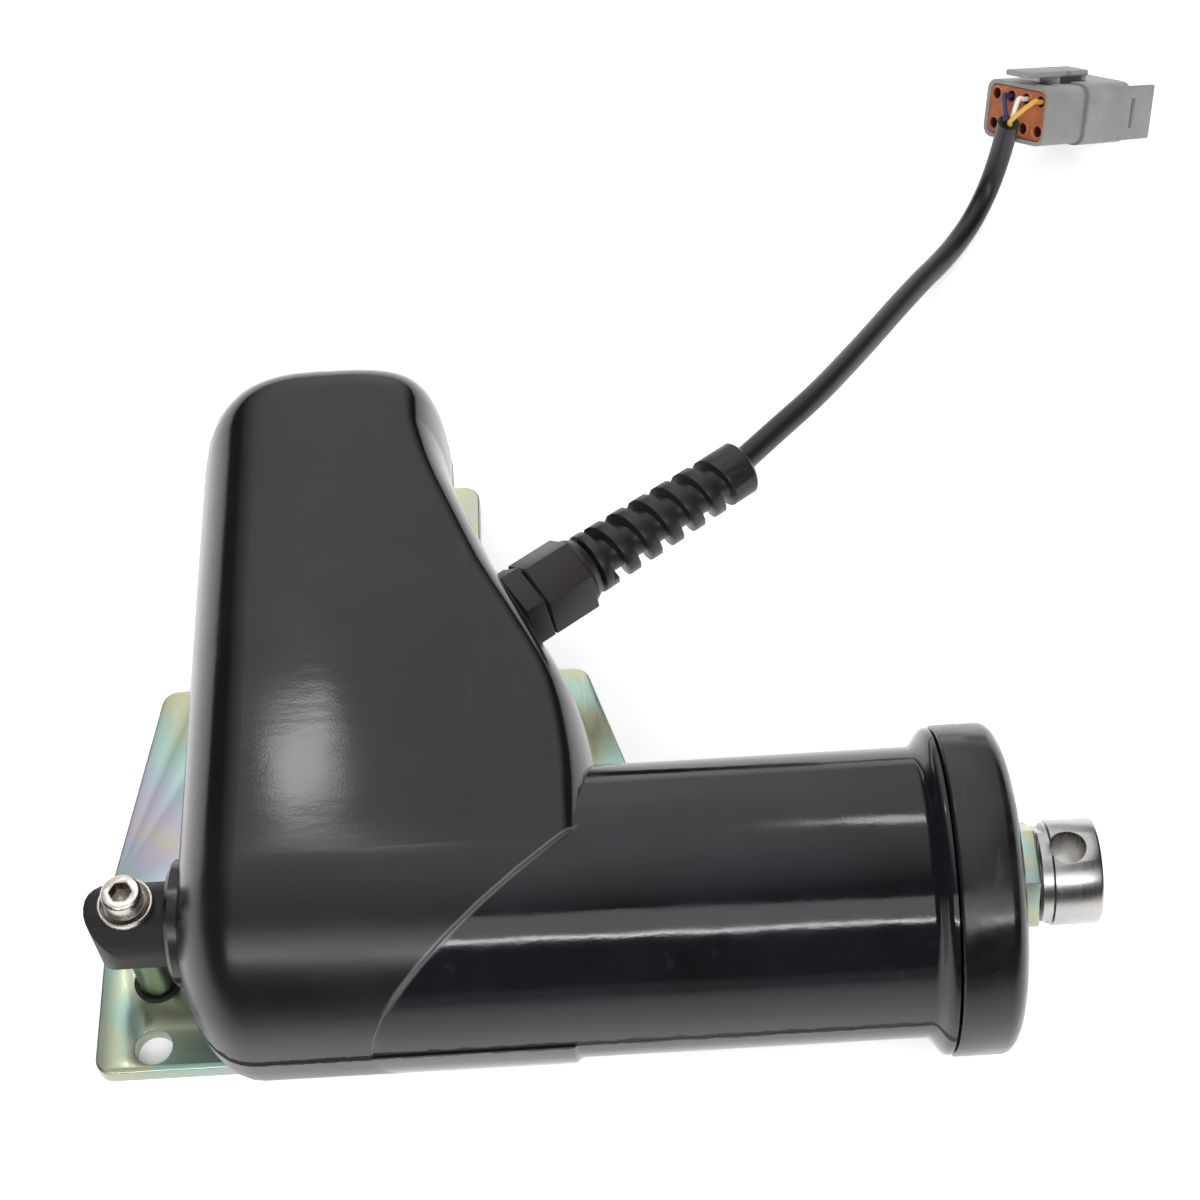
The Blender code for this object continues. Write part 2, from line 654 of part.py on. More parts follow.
def plate(material, parent):
    """Flat steel plate: wide at the pivot, with a tab under the motor."""
    tab_left = COVER_LEFT - TAB_MARGIN
    tab_right = COVER_RIGHT + TAB_MARGIN
    outline = rounded_outline([
        (PLATE_LEFT, PLATE_FRONT), (PLATE_RIGHT, PLATE_FRONT), (PLATE_RIGHT, PLATE_RIGHT_SLANT),
        (PLATE_BACK_RIGHT, PLATE_BACK), (tab_right, PLATE_BACK), (tab_right, TAB_BACK),
        (tab_left, TAB_BACK), (tab_left, PLATE_BACK), (PLATE_BACK_LEFT, PLATE_BACK),
        (PLATE_LEFT, PLATE_SLANT_START),
    ], PLATE_CORNER)
    piece = place("mounting_plate", prism(outline, 0, PLATE_THICK), material, parent, smooth=30)
    edge = piece.modifiers.new("rolled_edge", "BEVEL")
    edge.width = PLATE_EDGE
    edge.segments = 2
    edge.limit_method = "ANGLE"
    edge.angle_limit = radians(60)
    middle = (COVER_LEFT + COVER_RIGHT) / 2
    holes = [(0, PLATE_HOLE_FRONT), (PLATE_RIGHT + PLATE_LEFT, PLATE_HOLE_FRONT),
             (middle, TAB_BACK - TAB_HOLE_INSET)]
    for i, (x, y) in enumerate(holes):
        hole = turned([(-0.01, PLATE_HOLE_RADIUS), (0.02, PLATE_HOLE_RADIUS)], SMALL_ROUND)
        cut(piece, guide(f"plate_hole_{i + 1}", hole, Matrix.Translation((x, y, 0))))
    seat = turned([(-0.01, POST_FOOT_RADIUS + GAP), (0.02, POST_FOOT_RADIUS + GAP)], SMALL_ROUND)
    cut(piece, guide("post_hole", seat))
    return piece


def pivot(materials, parent):
    """The post, washer and screw that carry the rear eye."""
    post_top = EYE_BOTTOM - GAP
    bore = SCREW_RADIUS + GAP
    post = place("pivot_post", turned([
        (GAP, POST_FOOT_RADIUS), (PLATE_THICK + GAP, POST_FOOT_RADIUS),
        (PLATE_THICK + GAP, POST_RADIUS - 0.0004), (PLATE_THICK + GAP + 0.0004, POST_RADIUS),
        (post_top - 0.0005, POST_RADIUS), (post_top, POST_RADIUS - 0.0005)], SMALL_ROUND),
        materials["dark_zinc"], parent)
    drill = turned([(post_top - SCREW_REACH - 0.002, bore), (post_top + 0.01, bore)], SMALL_ROUND)
    cut(post, guide("post_thread", drill))

    low = EYE_TOP + GAP
    dish = low + WASHER_THICK * 0.45
    washer = bmesh.new()
    profile = [
        (WASHER_RADIUS, low), (WASHER_RADIUS, low + WASHER_THICK),
        (WASHER_RADIUS - WASHER_RIM, low + WASHER_THICK),
        (WASHER_RADIUS - WASHER_RIM * 2, dish + WASHER_THICK * 0.1),
        (SCREW_HEAD_RADIUS + 0.0002, dish), (bore, dish), (bore, low),
    ]
    layers = [[washer.verts.new((x, y, z)) for x, y in circle(r, 32)] for r, z in profile]
    for k, ring in enumerate(layers):
        above = layers[(k + 1) % len(layers)]
        for i in range(32):
            j = (i + 1) % 32
            washer.faces.new((ring[i], ring[j], above[j], above[i]))
    place("pivot_washer", washer, materials["bright_steel"], parent)

    seat = dish + GAP
    top = seat + SCREW_HEAD_HEIGHT
    screw = place("pivot_screw", turned([
        (post_top - SCREW_REACH, SCREW_RADIUS - 0.0005), (post_top - SCREW_REACH + 0.0005, SCREW_RADIUS),
        (seat, SCREW_RADIUS), (seat, SCREW_HEAD_RADIUS - 0.0002),
        (seat + 0.0002, SCREW_HEAD_RADIUS), (top - 0.0005, SCREW_HEAD_RADIUS),
        (top, SCREW_HEAD_RADIUS - 0.0005)], 32), materials["bright_steel"], parent)
    socket = hexagon(SOCKET_RADIUS * 2 * cos(pi / 6), top - SOCKET_DEPTH, top + 0.001)
    cut(screw, guide("hex_socket", socket))


def rear_eye(materials, parent):
    """The eye at the housing's rear: a round bar with a rounded end and a bush."""
    collar = COVER_LEFT + WALL + GAP
    collar_end = collar + EYE_COLLAR_LENGTH
    spigot = EYE_RADIUS - 0.003
    eye = place("rear_eye", turned([
        (-EYE_RADIUS - 0.004, EYE_RADIUS), (collar, EYE_RADIUS), (collar, EYE_COLLAR_RADIUS),
        (collar_end, EYE_COLLAR_RADIUS), (collar_end, spigot),
        (COVER_LEFT + EYE_INSIDE - 0.010, spigot)], 32), materials["eye_black"], parent, on_rod_axis())
    side = EYE_RADIUS + 0.0001
    wide = EYE_COLLAR_RADIUS + 0.002
    outline = [(0.06, wide), (collar - GAP, wide), (collar - GAP, side)]
    for k in range(17):
        angle = pi / 2 + pi * k / 16
        outline.append((EYE_RADIUS * cos(angle), side * sin(angle)))
    outline += [(collar - GAP, -side), (collar - GAP, -wide), (0.06, -wide)]
    keep(eye, guide("eye_nose", prism(outline, 0, COVER_TOP)))
    bush_outer = SCREW_RADIUS + RUNNING_GAP + BUSH_WALL
    flat = [(-0.02, -0.02), (EYE_FLAT_LENGTH, -0.02), (EYE_FLAT_LENGTH, 0.02), (-0.02, 0.02)]
    bore = turned([(0, bush_outer + GAP), (COVER_TOP, bush_outer + GAP)], SMALL_ROUND)
    cut(eye, guide("eye_flat", prism(flat, EYE_TOP, COVER_TOP)),
        guide("eye_underside", prism(flat, 0, EYE_BOTTOM)), guide("eye_bore", bore))
    place("pivot_bush", pipe(bush_outer, SCREW_RADIUS + RUNNING_GAP, EYE_BOTTOM, EYE_TOP,
                             chamfer=0.0002), materials["bronze"], parent)


def cap_ring(x, radius, depth):
    """The end cap's section: round, but flat underneath."""
    drop = set_down(radius, depth)
    corner = asin((depth - drop) / radius)
    points = []
    for k in range(ROUND + 1):
        angle = -corner + (pi + 2 * corner) * k / ROUND
        up = radius * sin(angle) - (drop if sin(angle) < 0 else 0.0)
        points.append((x, HOUSING_Y + radius * cos(angle), AXIS_HEIGHT + up))
    return points


def end_cap(materials, parent):
    """The cap that closes the screw cover and guides the rod."""
    spigot = TUBE_RADIUS - WALL - GAP
    spigot_depth = HOUSING_DEPTH - WALL - GAP
    start = CAP_START - CAP_JOINT - CAP_SPIGOT_LENGTH
    rings = [cap_ring(start, spigot, spigot_depth), cap_ring(CAP_START, spigot, spigot_depth),
             cap_ring(CAP_START, CAP_RADIUS - 0.0006, CAP_DEPTH - 0.0006),
             cap_ring(CAP_START + 0.0006, CAP_RADIUS, CAP_DEPTH)]
    corner = CAP_START + CAP_RIM_LENGTH
    for k in range(6):
        angle = pi / 2 * k / 5
        inset = CAP_FACE_INSET * (1 - cos(angle))
        x = corner + CAP_FACE_ROUND * sin(angle)
        rings.append(cap_ring(x, CAP_RADIUS - inset, CAP_DEPTH - inset / 3))
    cap = place("end_cap", loft(rings), materials["gloss_black"], parent)
    guide_end = CAP_FACE - WIPER_LENGTH - 0.0015
    guide_start = guide_end - GUIDE_LENGTH - GAP
    wiper_seat = guide_end + CAP_LIP
    bore = turned([
        (start - 0.01, ROD_RADIUS + CAP_BORE_MARGIN), (guide_start, ROD_RADIUS + CAP_BORE_MARGIN),
        (guide_start, GUIDE_RADIUS + GAP), (guide_end + GAP, GUIDE_RADIUS + GAP),
        (guide_end + GAP, ROD_RADIUS + CAP_LIP), (wiper_seat, ROD_RADIUS + CAP_LIP),
        (wiper_seat, WIPER_RADIUS + GAP), (CAP_FACE + 0.01, WIPER_RADIUS + GAP)], ROUND)
    low, high = HOUSING_Y - CAP_POCKET_HALF, HOUSING_Y + CAP_POCKET_HALF
    deep = CAP_START + CAP_STEP / 2
    hollow = prism([(start - 0.01, low), (deep, low), (deep, high), (start - 0.01, high)],
                   AXIS_HEIGHT - CAP_POCKET_HALF * 0.8, AXIS_HEIGHT + CAP_POCKET_HALF)
    cut(cap, guide("cap_bore", bore, on_rod_axis()), guide("cap_pocket", hollow))
    place("rod_guide", pipe(GUIDE_RADIUS, ROD_RADIUS + RUNNING_GAP, guide_end - GUIDE_LENGTH, guide_end,
                            32, 0.0004), materials["bronze"], parent, on_rod_axis())
    place("rod_wiper", pipe(WIPER_RADIUS, ROD_RADIUS + RUNNING_GAP, wiper_seat + GAP,
                            CAP_FACE + 0.0003, 32, 0.0004), materials["rubber"], parent, on_rod_axis())


def rod_parts(materials, parent):
    """What slides: the rod with its nut inside, the jam nut and the rod end."""
    nut_start = CAP_FACE + 0.0008
    rod_stop = CAP_FACE + 0.0004
    rod = place("push_rod", turned([
        (ROD_START, ROD_RADIUS - 0.0005), (ROD_START + 0.0005, ROD_RADIUS), (rod_stop, ROD_RADIUS),
        (rod_stop, STUD_RADIUS), (rod_stop + STUD_LENGTH - 0.001, STUD_RADIUS),
        (rod_stop + STUD_LENGTH, STUD_RADIUS - 0.001)], 32), materials["bright_steel"], parent,
        on_rod_axis())
    deep = turned([(ROD_START - 0.01, ROD_BORE), (LEAD_SCREW_END + 0.006, ROD_BORE)], SMALL_ROUND)
    cut(rod, guide("rod_bore", deep, on_rod_axis()))
    nut_end = ROD_START - GAP
    place("drive_nut", pipe(DRIVE_NUT_RADIUS, LEAD_SCREW_RADIUS + RUNNING_GAP,
                            nut_end - DRIVE_NUT_LENGTH, nut_end, 32, 0.0005),
          materials["acetal"], parent, on_rod_axis())
    nut = place("jam_nut", hexagon(NUT_FLATS, nut_start, nut_start + NUT_THICK, 0.0006, radians(8)),
                materials["zinc"], parent, on_rod_axis())
    drill = turned([(nut_start - 0.01, STUD_RADIUS + GAP), (nut_start + 0.01, STUD_RADIUS + GAP)],
                   SMALL_ROUND)
    cut(nut, guide("jam_nut_bore", drill, on_rod_axis()))
    start = nut_start + NUT_THICK + GAP
    neck = start + ROD_END_NECK_LENGTH
    stop = start + ROD_END_LENGTH
    end = place("rod_end", turned([
        (start, ROD_END_NECK_RADIUS - 0.0006), (start + 0.0006, ROD_END_NECK_RADIUS),
        (neck, ROD_END_NECK_RADIUS), (neck + 0.0004, ROD_END_RADIUS), (stop - 0.0008, ROD_END_RADIUS),
        (stop - 0.0002, ROD_END_RADIUS - 0.0003), (stop, ROD_END_RADIUS - 0.0009)], 64),
        materials["turned_steel"], parent, on_rod_axis())
    socket = turned([(start - 0.01, STUD_RADIUS + GAP),
                     (rod_stop + STUD_LENGTH + 0.001, STUD_RADIUS + GAP)], SMALL_ROUND)
    pin = turned([(0, ROD_END_HOLE_RADIUS), (COVER_TOP, ROD_END_HOLE_RADIUS)], 32)
    half = ROD_END_FLATS / 2
    wide = ROD_END_FLATS * 1.4
    flats_turn = Matrix.Rotation(radians(ROD_END_FLATS_ANGLE), 4, "X")
    flats_turn.translation = (0, 0, AXIS_HEIGHT)
    for sign, word in ((1, "near"), (-1, "far")):
        slab = prism([(start - 0.002, sign * half), (neck - 0.0006, sign * half),
                      (neck - 0.0006, sign * wide), (start - 0.002, sign * wide)], -wide, wide)
        cut(end, guide("wrench_flat_" + word, slab, flats_turn))
    cut(end, guide("stud_hole", socket, on_rod_axis()),
        guide("pin_hole", pin, Matrix.Translation((ROD_END_HOLE_X, 0, 0))))


def gear_corners(teeth, pitch_radius):
    """(radius, angle) corners of trapezoid teeth around a circle."""
    addendum = GEAR_MODULE * 0.85
    dedendum = GEAR_MODULE * 1.15
    pitch = 2 * pi / teeth
    thickness = pitch * (0.5 - TOOTH_CLEARANCE / (pi * GEAR_MODULE))
    half_tip = thickness * 0.28
    half_root = thickness * 0.80
    tooth = [(-half_root, -dedendum), (-half_tip, addendum), (half_tip, addendum), (half_root, -dedendum)]
    return [(pitch_radius + height, number * pitch + angle)
            for number in range(teeth) for angle, height in tooth]


def gear_layer(corners, between=1):
    """The corners with extra points between each two of them, all the way round."""
    layer = []
    following = corners[1:] + [(corners[0][0], corners[0][1] + 2 * pi)]
    for (radius, angle), (next_radius, next_angle) in zip(corners, following):
        for k in range(between):
            t = k / between
            layer.append((radius + (next_radius - radius) * t, angle + (next_angle - angle) * t))
    return layer


def screw_and_gears(materials, screw_frame, worm_frame):
    """The lead screw with its wheel, and the worm on the motor's shaft."""
    tip = LEAD_SCREW_RADIUS
    journal = tip - 0.0006
    flange = BEARING_X + BEARING_WIDTH + 0.0006
    place("lead_screw", turned([
        (LEAD_SCREW_START, journal - 0.0004), (LEAD_SCREW_START + 0.0006, journal),
        (flange, journal), (flange, tip + 0.0018), (flange + 0.0016, tip + 0.0018),
        (flange + 0.0016, tip), (LEAD_SCREW_END - 0.001, tip), (LEAD_SCREW_END, tip - 0.001)],
        SMALL_ROUND), materials["turned_steel"], screw_frame, on_rod_axis())

    lead_angle = WORM_STARTS * GEAR_MODULE / (2 * WORM_PITCH_RADIUS)
    corners = gear_corners(WHEEL_TEETH, WHEEL_RADIUS)
    rings = []
    for k in range(5):
        x = (k / 4 - 0.5) * WHEEL_WIDTH
        twist = x * lead_angle / WHEEL_RADIUS
        rings.append([(radius * sin(angle + twist), radius * cos(angle + twist), x)
                      for radius, angle in corners])
    wheel = place("worm_wheel", loft(rings), materials["acetal"], screw_frame,
                  on_rod_axis(WHEEL_X), smooth=20)
    bore = turned([(-0.02, journal + GAP), (0.02, journal + GAP)], SMALL_ROUND)
    cut(wheel, guide("wheel_bore", bore, on_rod_axis(WHEEL_X)))

    lead = pi * GEAR_MODULE * WORM_STARTS
    layer = gear_layer(gear_corners(WORM_STARTS, WORM_PITCH_RADIUS), 3)
    rings = []
    for k in range(WORM_RINGS):
        y = (k / (WORM_RINGS - 1) - 0.5) * WORM_LENGTH
        twist = 2 * pi * y / lead
        rings.append([(radius * cos(angle - twist), radius * sin(angle - twist), y)
                      for radius, angle in layer])
    worm = place("worm", loft(rings), materials["turned_steel"], worm_frame, motor_axis(), smooth=20)
    bore = turned([(-0.03, SHAFT_RADIUS + GAP), (0.03, SHAFT_RADIUS + GAP)], 16)
    cut(worm, guide("worm_bore", bore, motor_axis()))


def motor_parts(materials, actuator, worm_frame):
    """Can, end bell, bearing blocks and the turning shaft."""
    frame = motor_axis()
    bell = MOTOR_START + MOTOR_LENGTH
    can = place("motor_can", turned([
        (MOTOR_START, MOTOR_RADIUS - 0.001), (MOTOR_START + 0.001, MOTOR_RADIUS),
        (bell - GAP, MOTOR_RADIUS)], ROUND), materials["zinc"], actuator, frame)
    inside = MOTOR_RADIUS - MOTOR_WALL
    floor = MOTOR_START + MOTOR_WALL
    hollow = turned([(MOTOR_START - 0.01, SHAFT_RADIUS + 0.001), (floor, SHAFT_RADIUS + 0.001),
                     (floor, inside), (bell + 0.01, inside)], 32)
    cut(can, guide("can_hollow", hollow, frame))
    place("motor_end_bell", turned([
        (bell, MOTOR_RADIUS), (bell + 0.002, MOTOR_RADIUS), (bell + 0.003, MOTOR_RADIUS - 0.003),
        (bell + MOTOR_BELL_LENGTH, MOTOR_RADIUS - 0.008)], 32), materials["acetal"], actuator, frame)
    core = MOTOR_RADIUS - 0.005
    place("armature", turned([
        (-WORM_LENGTH / 2 - 0.003, SHAFT_RADIUS), (MOTOR_START + 0.006, SHAFT_RADIUS),
        (MOTOR_START + 0.006, core - 0.003), (MOTOR_START + 0.010, core), (bell - 0.012, core),
        (bell - 0.008, core - 0.004), (bell - 0.003, core - 0.006), (bell - 0.0008, SHAFT_RADIUS)],
        SMALL_ROUND), materials["copper"], worm_frame, frame)
    half = BRACKET_HALF
    below, above = AXIS_HEIGHT - MOTOR_HEIGHT - BRACKET_BELOW, BRACKET_ABOVE
    outline = [(-half, below), (half, below), (half, above), (-half, above)]
    block = place("motor_bracket", prism(outline, BRACKET_START, MOTOR_START - GAP),
                  materials["alloy"], actuator, frame, smooth=30)
    shaft_hole = turned([(-0.02, SHAFT_RADIUS + 0.0008), (0.05, SHAFT_RADIUS + 0.0008)], SMALL_ROUND)
    cut(block, guide("bracket_bore", shaft_hole, frame))


def screw_bearing(materials, parent):
    """The bearing that takes the rod's push, in its block."""
    place("screw_bearing", pipe(BEARING_RADIUS, LEAD_SCREW_RADIUS - 0.0006 + RUNNING_GAP, BEARING_X,
                                BEARING_X + BEARING_WIDTH, 32, 0.0004),
          materials["bright_steel"], parent, on_rod_axis())
    left, right = BEARING_X - 0.002, BEARING_X + BEARING_WIDTH
    back = BLOCK_HALF - BLOCK_OFFSET
    outline = [(left, -BLOCK_HALF), (right, -BLOCK_HALF), (right, back), (left, back)]
    block = place("bearing_block", prism(outline, AXIS_HEIGHT - HOUSING_DEPTH + WALL + GAP,
                                         AXIS_HEIGHT + BLOCK_TOP),
                  materials["alloy"], parent, smooth=30)
    lip = BEARING_RADIUS - 0.003
    seat = turned([(BEARING_X - GAP, BEARING_RADIUS + GAP), (right + 0.01, BEARING_RADIUS + GAP)], 32)
    through = turned([(left - 0.01, lip), (right + 0.01, lip)], 32)
    cut(block, guide("bearing_seat", seat, on_rod_axis()), guide("bearing_through", through, on_rod_axis()))


def gland_parts(materials, parent):
    """Threaded body and dome nut of the cable gland."""
    frame = gland_frame()
    bore = CABLE_RADIUS + 0.0008
    body = place("gland_body", hexagon(GLAND_BODY_FLATS, 0, GLAND_BODY_LENGTH, 0.0008, radians(10)),
                 materials["gland_black"], parent, frame, smooth=20)
    thread = guide("gland_thread", turned([(-GLAND_THREAD_LENGTH, GLAND_THREAD_RADIUS),
                                           (0.002, GLAND_THREAD_RADIUS)], SMALL_ROUND), frame)
    join(body, thread)
    nut_start = GLAND_BODY_LENGTH + GAP
    nut_end = nut_start + GLAND_NUT_LENGTH
    nut = place("gland_nut", hexagon(GLAND_NUT_FLATS, nut_start, nut_end - 0.004, 0.0008, radians(18)),
                materials["gland_black"], parent, frame, smooth=20)
    flats = GLAND_NUT_FLATS / 2
    dome = turned([(nut_start + 0.003, flats - 0.0005), (nut_end - 0.003, flats - 0.0005),
                   (nut_end - 0.001, flats - 0.0016), (nut_end, flats - 0.0034)], 32)
    join(nut, guide("gland_dome", dome, frame))
    for piece, word in ((body, "body"), (nut, "nut")):
        drill = turned([(-0.03, bore), (nut_end + 0.02, bore)], SMALL_ROUND)
        cut(piece, guide("gland_bore_" + word, drill, frame))
    return nut_end + GAP


def gland_hole(shell, word):
    """The hole and the flat seat for the gland in one half of the shell."""
    radius = GLAND_THREAD_RADIUS + GAP
    hole = turned([(-0.03, radius), (0.02, radius)], SMALL_ROUND)
    seat = hexagon(GLAND_BODY_FLATS + 0.002, -GAP, 0.03, 0, radians(10))
    cut(shell, guide(word + "_gland_hole", hole, gland_frame()),
        guide(word + "_gland_seat", seat, gland_frame()))


def strain_relief(material, parent, start):
    """The spiral relief that the cable leaves by: a core, a wound rib and an end collar."""
    frame = gland_frame()
    bore = CABLE_RADIUS + 0.0008
    collar = start + RELIEF_PITCH * RELIEF_TURNS
    first = start + RELIEF_RIB * 0.6
    relief = place("strain_relief", turned([
        (start, RELIEF_RADIUS), (first, RELIEF_RADIUS), (first + 0.0006, RELIEF_CORE_RADIUS),
        (collar, RELIEF_CORE_RADIUS), (collar + 0.0004, RELIEF_END_RADIUS),
        (collar + RELIEF_COLLAR - 0.0010, RELIEF_END_RADIUS),
        (collar + RELIEF_COLLAR, RELIEF_END_RADIUS - 0.0012)], SMALL_ROUND), material, parent, frame)
    half = RELIEF_RIB / 2
    inner = RELIEF_CORE_RADIUS - 0.0005
    rings = []
    count = RELIEF_TURNS * RELIEF_STEPS
    for k in range(count + 1):
        outer = RELIEF_RADIUS + (RELIEF_END_RADIUS - RELIEF_RADIUS) * k / count
        section = [(inner, -half), (outer, -half * 0.82), (outer, half * 0.82), (inner, half)]
        angle = pi + 2 * pi * k / RELIEF_STEPS
        z = start + half + 0.0002 + RELIEF_PITCH * k / RELIEF_STEPS
        rings.append([(r * cos(angle), r * sin(angle), z + dz) for r, dz in section])
    join(relief, guide("relief_spiral", loft(rings), frame))
    cut(relief, guide("relief_bore", turned([(0, bore), (0.2, bore)], 16), frame))
    return collar + RELIEF_COLLAR


# Points on the cable's middle line between the relief and the plug
CABLE_ROUTE = [
    (0.1749, 0.1475, 0.0369), (0.1828, 0.1567, 0.0348), (0.1899, 0.1663, 0.0318),
    (0.1965, 0.1762, 0.0284), (0.2028, 0.1861, 0.0248), (0.2089, 0.1959, 0.0213),
    (0.2150, 0.2058, 0.0178), (0.2211, 0.2157, 0.0141), (0.2274, 0.2257, 0.0102),
    (0.2340, 0.2357, 0.0063), (0.2407, 0.2458, 0.0038), (0.2474, 0.2557, 0.0044),
    (0.2531, 0.2640, 0.0100), (0.2565, 0.2681, 0.0210), (0.2579, 0.2686, 0.0333),
]


def tube_along(name, points, radius, material, parent, resolution):
    """A cord as a bevelled curve with filled caps."""
    curve = bpy.data.curves.new(name, "CURVE")
    curve.dimensions = "3D"
    curve.bevel_depth = radius
    curve.bevel_resolution = resolution
    curve.use_fill_caps = True
    spline = curve.splines.new("POLY")
    spline.points.add(len(points) - 1)
    for knot, point in zip(spline.points, points):
        knot.co = (*point, 1.0)
    curve.materials.append(material)
    piece = bpy.data.objects.new(name, curve)
    bpy.context.scene.collection.objects.link(piece)
    piece.parent = parent
    piece.matrix_parent_inverse = parent.matrix_world.inverted()
    return piece


def plug_frame():
    """The plug's axis: origin at the middle of its rear face, +Z into the plug."""
    turn, dip = radians(PLUG_TURN), radians(PLUG_DIP)
    direction = (cos(turn) * cos(dip), sin(turn) * cos(dip), -sin(dip))
    return along(PLUG_REAR, direction) @ Matrix.Rotation(radians(PLUG_ROLL), 4, "Z")


def rounded_box(width, height, radius, z_low, z_high, steps=4):
    """A box with rounded long edges, in its own frame."""
    x, y = width / 2, height / 2
    return prism(rounded_outline([(-x, -y), (x, -y), (x, y), (-x, y)], radius, steps), z_low, z_high)


def plug_cavities():
    """Middles of the eight wire holes in the seal."""
    rows = (-CAVITY_UP, CAVITY_UP)
    columns = [(k - 1.5) * CAVITY_PITCH for k in range(4)]
    return [(x, y) for y in rows for x in columns]


def plug_parts(materials, parent):
    """Eight-way sealed plug: body with collar, latch and side tab, rear seal, front wedge."""
    frame = plug_frame()
    wide, tall = PLUG_WIDTH, PLUG_HEIGHT
    front_wide, front_tall = wide + 2 * PLUG_STEP, tall + 2 * PLUG_STEP
    body = place("plug_body", rounded_box(wide, tall, 0.0034, 0, PLUG_REAR_LENGTH + 0.002),
                 materials["plug_grey"], parent, frame, smooth=30)
    front = rounded_box(front_wide, front_tall, 0.0038, PLUG_REAR_LENGTH, PLUG_LENGTH)
    latch_end = PLUG_LENGTH - 0.012
    lever = rounded_box(LATCH_WIDTH, LATCH_THICK, 0.0006, -0.0015, latch_end)
    post = rounded_box(LATCH_WIDTH - 0.0014, 0.0040, 0.0006, PLUG_REAR_LENGTH - 0.004, latch_end)
    tab = rounded_box(TAB_THICK, tall - 0.001, 0.0006, PLUG_LENGTH - 0.003, PLUG_LENGTH + TAB_LENGTH)
    slit = rounded_box(TAB_THICK * 3, tall * 0.52, 0.0008, PLUG_LENGTH + 0.0008, PLUG_LENGTH + 0.0028)
    side = Matrix.Translation((TAB_THICK / 2 - front_wide / 2, 0, 0))
    above = tall / 2 + 0.0012
    join(body, guide("plug_front", front, frame),
         guide("plug_post", post, frame @ Matrix.Translation((0, above, 0))),
         guide("plug_lever", lever, frame @ Matrix.Translation((0, above + LATCH_THICK, 0))),
         guide("plug_tab", tab, frame @ side))
    inner_wide, inner_tall = wide - 2 * PLUG_WALL, tall - 2 * PLUG_WALL
    pocket = rounded_box(inner_wide, inner_tall, 0.0024, -0.01, SEAL_DEPTH)
    mouth = rounded_box(inner_wide, inner_tall, 0.0024, PLUG_LENGTH - MOUTH_DEPTH, PLUG_LENGTH + 0.001)
    cut(body, guide("seal_pocket", pocket, frame), guide("plug_mouth", mouth, frame),
        guide("tab_slit", slit, frame @ side))
    seal = place("plug_seal", rounded_box(inner_wide - 2 * GAP, inner_tall - 2 * GAP, 0.0021,
                                          0.0004, SEAL_DEPTH - GAP),
                 materials["seal_orange"], parent, frame, smooth=30)
    for i, (x, y) in enumerate(plug_cavities()):
        cavity = turned([(-0.01, CAVITY_RADIUS), (SEAL_DEPTH - 0.002, CAVITY_RADIUS)], 12)
        cut(seal, guide(f"seal_cavity_{i + 1}", cavity, frame @ Matrix.Translation((x, y, 0))))
    wedge = rounded_box(inner_wide - 0.004, 0.0040, 0.0008, PLUG_LENGTH - MOUTH_DEPTH + GAP,
                        PLUG_LENGTH - 0.0004)
    place("plug_wedge", wedge, materials["seal_orange"], parent, frame, smooth=30)


def cable_parts(materials, parent, relief_end):
    """The cable, and the three wires that leave it for the plug."""
    start = gland_point(relief_end + GAP)
    straight = gland_point(relief_end + 0.006)
    route = [tuple(start), tuple(straight)] + CABLE_ROUTE
    path = smooth_curve(route, 4)
    tube_along("cable", path, CABLE_RADIUS, materials["cable_black"], parent, 2)
    frame = plug_frame()
    stop = path[-1]
    forward = (path[-1] - path[-2]).normalized()
    across = frame.to_3x3() @ Vector((1, 0, 0))
    across = (across - forward * across.dot(forward)).normalized()
    above = across.cross(forward)
    cavities = plug_cavities()
    for name, hole, angle in (("wire_white", 5, 90), ("wire_yellow", 4, 210), ("wire_blue", 6, 330)):
        x, y = cavities[hole]
        shift = (across * cos(radians(angle)) + above * sin(radians(angle))) * WIRE_SPREAD
        start = stop + forward * GAP + shift
        inner = frame @ Vector((x, y, 0.0030))
        before = frame @ Vector((x, y, -0.0030))
        points = [start, start + forward * 0.002, before, frame @ Vector((x, y, -0.0004)), inner]
        tube_along(name, smooth_curve(points, 3), WIRE_RADIUS, materials[name], parent, 1)


def empty(name, location, parent):
    """A joint's axis, kept as an empty that its pieces hang on."""
    axis = bpy.data.objects.new(name, None)
    axis.location = location
    axis.empty_display_size = 0.01
    bpy.context.scene.collection.objects.link(axis)
    if parent is not None:
        axis.parent = parent
        bpy.context.view_layer.update()
        axis.matrix_parent_inverse = parent.matrix_world.inverted()
    return axis


